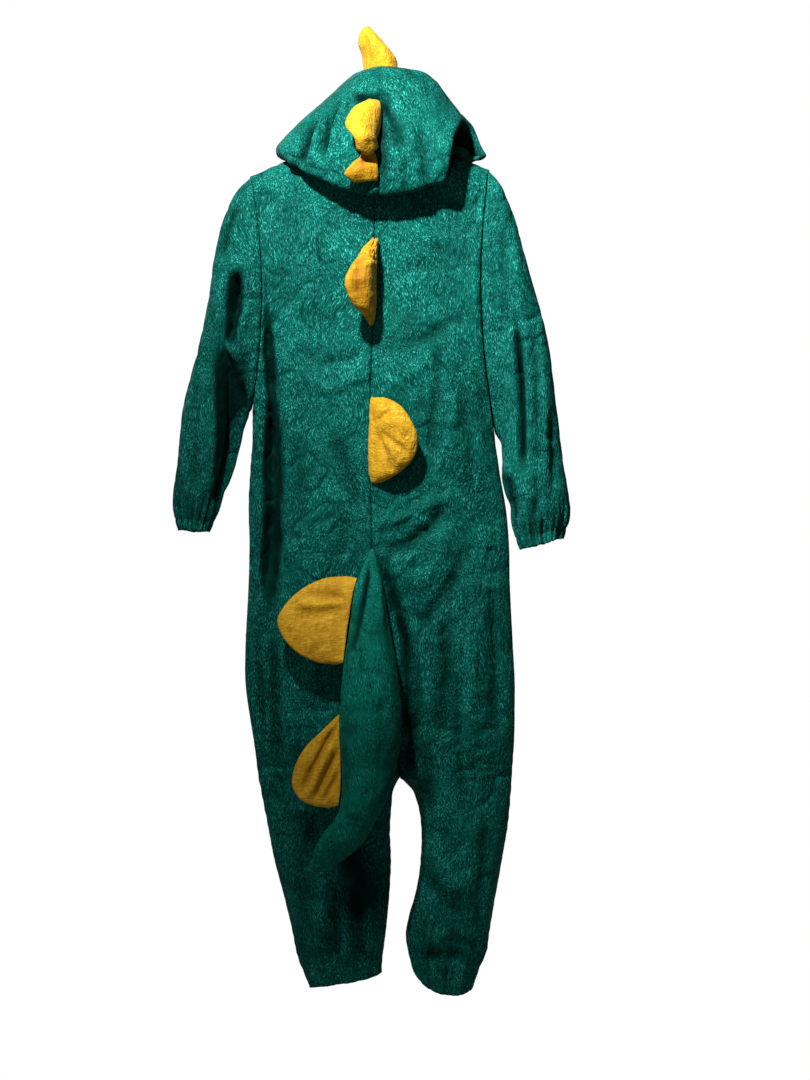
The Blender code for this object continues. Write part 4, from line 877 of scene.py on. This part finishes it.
def addStuffed(name, grid, ring, finish, pressed):
    # A closed stuffed form; its rows run from one end to the other
    piece = addCloth(name, grid, ring, finish, pressed, lining=False)
    piece.modifiers.clear()
    bpy.ops.object.select_all(action="DESELECT")
    piece.select_set(True)
    bpy.context.view_layer.objects.active = piece
    bpy.ops.object.mode_set(mode="EDIT")
    bpy.ops.mesh.select_all(action="SELECT")
    bpy.ops.mesh.remove_doubles(threshold=0.00002)
    bpy.ops.mesh.normals_make_consistent(inside=False)
    bpy.ops.object.mode_set(mode="OBJECT")
    return piece


stations, settled = tailPath()
tailPiece = buildTail(stations, settled)
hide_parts("tail_left", "tail_right")
print("stage: tail")

# Spikes: root line and free edge as x and z, lift off the cloth, and the creases in each
spikes = {
    "spike_2": {
        "root": ((1, -42), (2, -58), (0, -80), (-7, -101), (-4, -110), (-2, -122), (-1, -138)),
        "edge": ((-10, -39), (-30, -56), (-38, -72), (-20, -104), (-30, -118), (-39, -131), (-27, -141)),
        "curl": 1.5,
        "lifts": (6, 24, 32, 34, 12, 14, 8),
        # Painted shade across the middle of the spike
        "pressed": ((17, 0.5, 0, -34, -112, -22, -122, -4, -118),),
        "folds": ((7, 7, -0.75, -30, -92, -14, -106, 4, -92), (7, -3.5, 0, -30, -104, -14, -114, 4, -104),
                  (9, 2.5, 0, -20, -45, -22, -70, -16, -96), (4, -1.8, 0, -32, -124, -18, -118, -2, -110)),
    },
    "spike_3": {
        "root": ((-1, -203), (-3, -224), (-4, -248), (-4, -280), (-7, -306)),
        "edge": ((-6, -202), (-18, -216), (-30, -232), (-39, -260), (-32, -281), (-17, -296), (-9, -307)),
        "curl": 2.0,
        "lifts": (6, 28, 46, 54, 50, 34, 8),
        # Painted shade across the middle of the spike
        "pressed": ((17, 0.3, 0, -12, -232, -18, -258, -12, -290),),
        "folds": ((9, -7, 0.2, -14, -216, -24, -244, -20, -286), (4, 2.5, 0, -34, -242, -18, -238, -4, -230)),
    },
    "spike_4": {
        "root": ((-8, -392), (-9, -420), (-10, -450), (-10, -475), (-7, -494)),
        "edge": ((6, -392), (22, -399), (38, -418), (47, -440), (43, -462), (27, -480), (4, -493)),
        "curl": 1.0,
        "lifts": (4, 20, 26, 26, 22, 16, 4),
        "pressed": (),
        "folds": ((2.6, -3, 0, 0, -430, 8, -452, 18, -484), (2.2, -2.4, 0, 2, -430, 18, -444, 38, -460),
                  (2.4, -2, 0, -2, -424, 4, -416, 14, -408), (4, 2, 0, 6, -440, 20, -456, 28, -478),
                  (5, 1.6, 0, 10, -420, 24, -424, 40, -436)),
    },
}
tailSpikes = {
    "spike_5": {
        "root": ((-24, -606), (-31, -640), (-36, -675), (-40, -706)),
        "edge": ((-36, -604), (-62, -606), (-90, -619), (-110, -638), (-119, -656), (-114, -672), (-96, -693),
                 (-72, -705), (-50, -708)),
        "folds": ((6, -3.5, 0, -92, -624, -66, -626, -30, -632), (7, -2.6, 0, -104, -646, -72, -650, -34, -640),
                  (4, 2.4, 0, -100, -636, -70, -638, -34, -634),
                  (1.6, 1.8, 0, -103, -682, -92, -664, -84, -652), (6, 1.8, 0, -90, -690, -66, -676, -44, -676)),
    },
    "spike_6": {
        "root": ((-44, -766), (-45, -800), (-44, -840), (-44, -874)),
        "edge": ((-50, -770), (-66, -786), (-86, -806), (-100, -836), (-101, -850), (-92, -866), (-76, -874),
                 (-58, -877)),
        "folds": ((3.6, -5, 0, -92, -866, -78, -832, -60, -798, -44, -772),
                  (3.6, -4.6, 0, -78, -874, -62, -838, -42, -800), (4, 2.4, 0, -85, -868, -70, -836, -50, -794),
                  (3, -3, 0, -66, -872, -54, -850, -42, -826)),
    },
}
leaf = {"long": 56, "across": 30, "thick": 5.0, "rim": 0.9, "seatStep": 4}
crown = {"long": 40, "across": 32, "rim": 0.9, "thick": 3.4}
crownRows = ((-17, 23, 0, 12, -9, 2), (-19, 22, 12, 12, -10, 2), (-20, 18, 22, 11, -10, 1),
             (-24, 8, 34, 8, -9, 0), (-23, -3, 46, 5, -6, -1), (-17, -11, 55, 2, -3, -1))


def smoothLine(points, count):
    stack = np.array(points, float)
    reach = np.concatenate(([0.0], np.cumsum(np.linalg.norm(np.diff(stack, axis=0), axis=1))))
    fine = glide(reach, stack, np.linspace(0, reach[-1], 400))
    run = np.concatenate(([0.0], np.cumsum(np.linalg.norm(np.diff(fine, axis=0), axis=1))))
    at = np.linspace(0, run[-1], count)
    return np.stack([np.interp(at, run, fine[:, k]) for k in range(stack.shape[1])], axis=1)


def leafThickness(a, b):
    ends = np.sqrt(np.clip(np.minimum(a, 1 - a) * 9, 0.0, 1.0))
    side = np.sqrt(np.clip(1 - b ** 4, 0.0, 1.0))
    return leaf["rim"] + (leaf["thick"] - leaf["rim"]) * ends * side


def addLeaf(name, middle, half, across, folds, pressed=()):
    # Two faces of a flat stuffed leaf, joined round its rim
    x, z = middle[:, :, 0], middle[:, :, 2]
    shift = creased(folds, x, z)
    calm = ease(np.linspace(0, 1, x.shape[1]) * 8)[None, :]
    bend = (shift * calm + 0.5 * crumpled(middle, 0.7, 40.0 + x[0, 0]))[:, :, None] * across
    near = middle + bend + across * half[:, :, None]
    far = middle + bend - across * half[:, :, None]
    loop = np.concatenate((near, far[:, ::-1]), axis=1)
    first = np.concatenate(((near[0] + far[0]) / 2, ((near[0] + far[0]) / 2)[::-1]))
    last = np.concatenate(((near[-1] + far[-1]) / 2, ((near[-1] + far[-1]) / 2)[::-1]))
    loop = np.concatenate((first[None], loop, last[None]))
    # Painted shade on both faces of the leaf
    leafPaintedShade = paintShade(shift, pressed, x, z)
    leafPaintedShade = np.concatenate((leafPaintedShade, leafPaintedShade[:, ::-1]), axis=1)
    leafPaintedShade = np.concatenate((leafPaintedShade[:1], leafPaintedShade, leafPaintedShade[-1:]))
    piece = addStuffed(name, loop, True, yellowCloth, leafPaintedShade)
    return piece


def spikeGrid(spec, seamAt=None):
    root, edge = smoothLine(spec["root"], leaf["long"] + 1), smoothLine(spec["edge"], leaf["long"] + 1)
    if seamAt is not None:
        root[:, 0] = seamAt(root[:, 1]) - 0.5
    b = np.linspace(0, 1, leaf["across"] + 1)
    flat = root[:, None, :] + (edge - root)[:, None, :] * b[None, :, None] ** spec.get("curl", 1.0)
    a = np.linspace(0, 1, leaf["long"] + 1)[:, None]
    return flat[:, :, 0], flat[:, :, 1], a, b[None, :]


for name, spec in spikes.items():
    x, z, a, b = spikeGrid(spec)
    finder = onHood if name == "spike_2" else onBack
    step = leaf["seatStep"]
    seat = np.array([[min(finder(px + dx, pz + dz) for dx, dz in ((0, 0), (-3, 0), (3, 0), (0, -3), (0, 3)))
                      for px, pz in zip(rowX, rowZ)] for rowX, rowZ in zip(x[::step], z[::step])])
    seat = glide(np.arange(0, leaf["long"] + 1, step, dtype=float), seat, np.arange(leaf["long"] + 1.0))
    half = leafThickness(a, b) / 2
    lift = np.interp(a, np.linspace(0, 1, 7), spec["lifts"]) * np.sin(np.pi * np.minimum(1.0, b * 0.6))
    middle = np.stack((x, seat - 0.5 - half - lift, z), axis=2)
    across = outwardNormals(middle, False, middle.mean(axis=(0, 1)) + (0, 300, 0))
    piece = addLeaf("plush_" + name, middle, half, across, spec["folds"], spec["pressed"])
    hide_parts(name)

heights = -(stations[:, 1] + stations[:, 3]) / 2
for name, spec in tailSpikes.items():
    x, z, a, b = spikeGrid(spec, lambda down: np.interp(-down, -stations[:, 1], stations[:, 0]))
    y = np.interp(-z, heights, settled) + 5.0 * b ** 1.5
    half = leafThickness(a, b) / 2
    piece = addLeaf("plush_" + name, np.stack((x, y, z), axis=2), half, np.array((0.0, -1.0, 0.0)), spec["folds"])
    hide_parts(name)


def buildCrownSpike():
    rows = smoothLine(crownRows, crown["long"])
    b = np.linspace(0, 1, crown["across"] + 1)[None, :]
    lx, rx, z, ly, my, ry = (rows[:, k][:, None] for k in range(6))
    x = lx + (rx - lx) * b
    y = ly * (1 - b) * (1 - 2 * b) + 4 * my * b * (1 - b) + ry * b * (2 * b - 1)
    middle = np.stack((x, y, np.broadcast_to(z, x.shape)), axis=2)
    trees = [clothTree(hood) for hood in hoods.values()]
    for j in range(middle.shape[1]):
        px, py, pz = middle[0, j]
        hits = [tree.ray_cast(Vector((px * mm, py * mm, 1.0)), Vector((0, 0, -1)))[0] for tree in trees]
        top = max([hit.z / mm for hit in hits if hit is not None] + [pz]) + 0.3
        middle[:, j, 2] += (top - pz) * np.clip(1 - np.arange(len(rows)) / 12, 0.0, 1.0)
    along = np.gradient(middle, axis=1)
    across = np.cross(along, (0.0, 0.0, 1.0))
    across /= np.linalg.norm(across, axis=2, keepdims=True)
    across *= np.where(across[:, :, 1:2] < 0, 1.0, -1.0)
    a = np.linspace(0, 1, len(rows))[:, None]
    sides = np.sqrt(np.clip(np.minimum(b, 1 - b) * 7, 0.0, 1.0))
    half = (crown["rim"] + crown["thick"] * sides * np.sqrt(1 - a ** 4)) / 2
    piece = addLeaf("plush_spike_1", middle, half, across, ((4, -2.5, 0, -18, 50, -12, 30, -6, 8),
                                                           (5, 1.8, 0, -12, 52, 4, 30, 12, 8)))
    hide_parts("spike_1")


buildCrownSpike()
print("stage: spikes")

# The hanger and its hook keep their solids and get their finishes
for node, finish in (("hanger", beech("beech")), ("hanger_hook", steel("hookSteel"))):
    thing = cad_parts[node]
    for place in thing.material_slots:
        place.material = finish
print("stage: hanger")
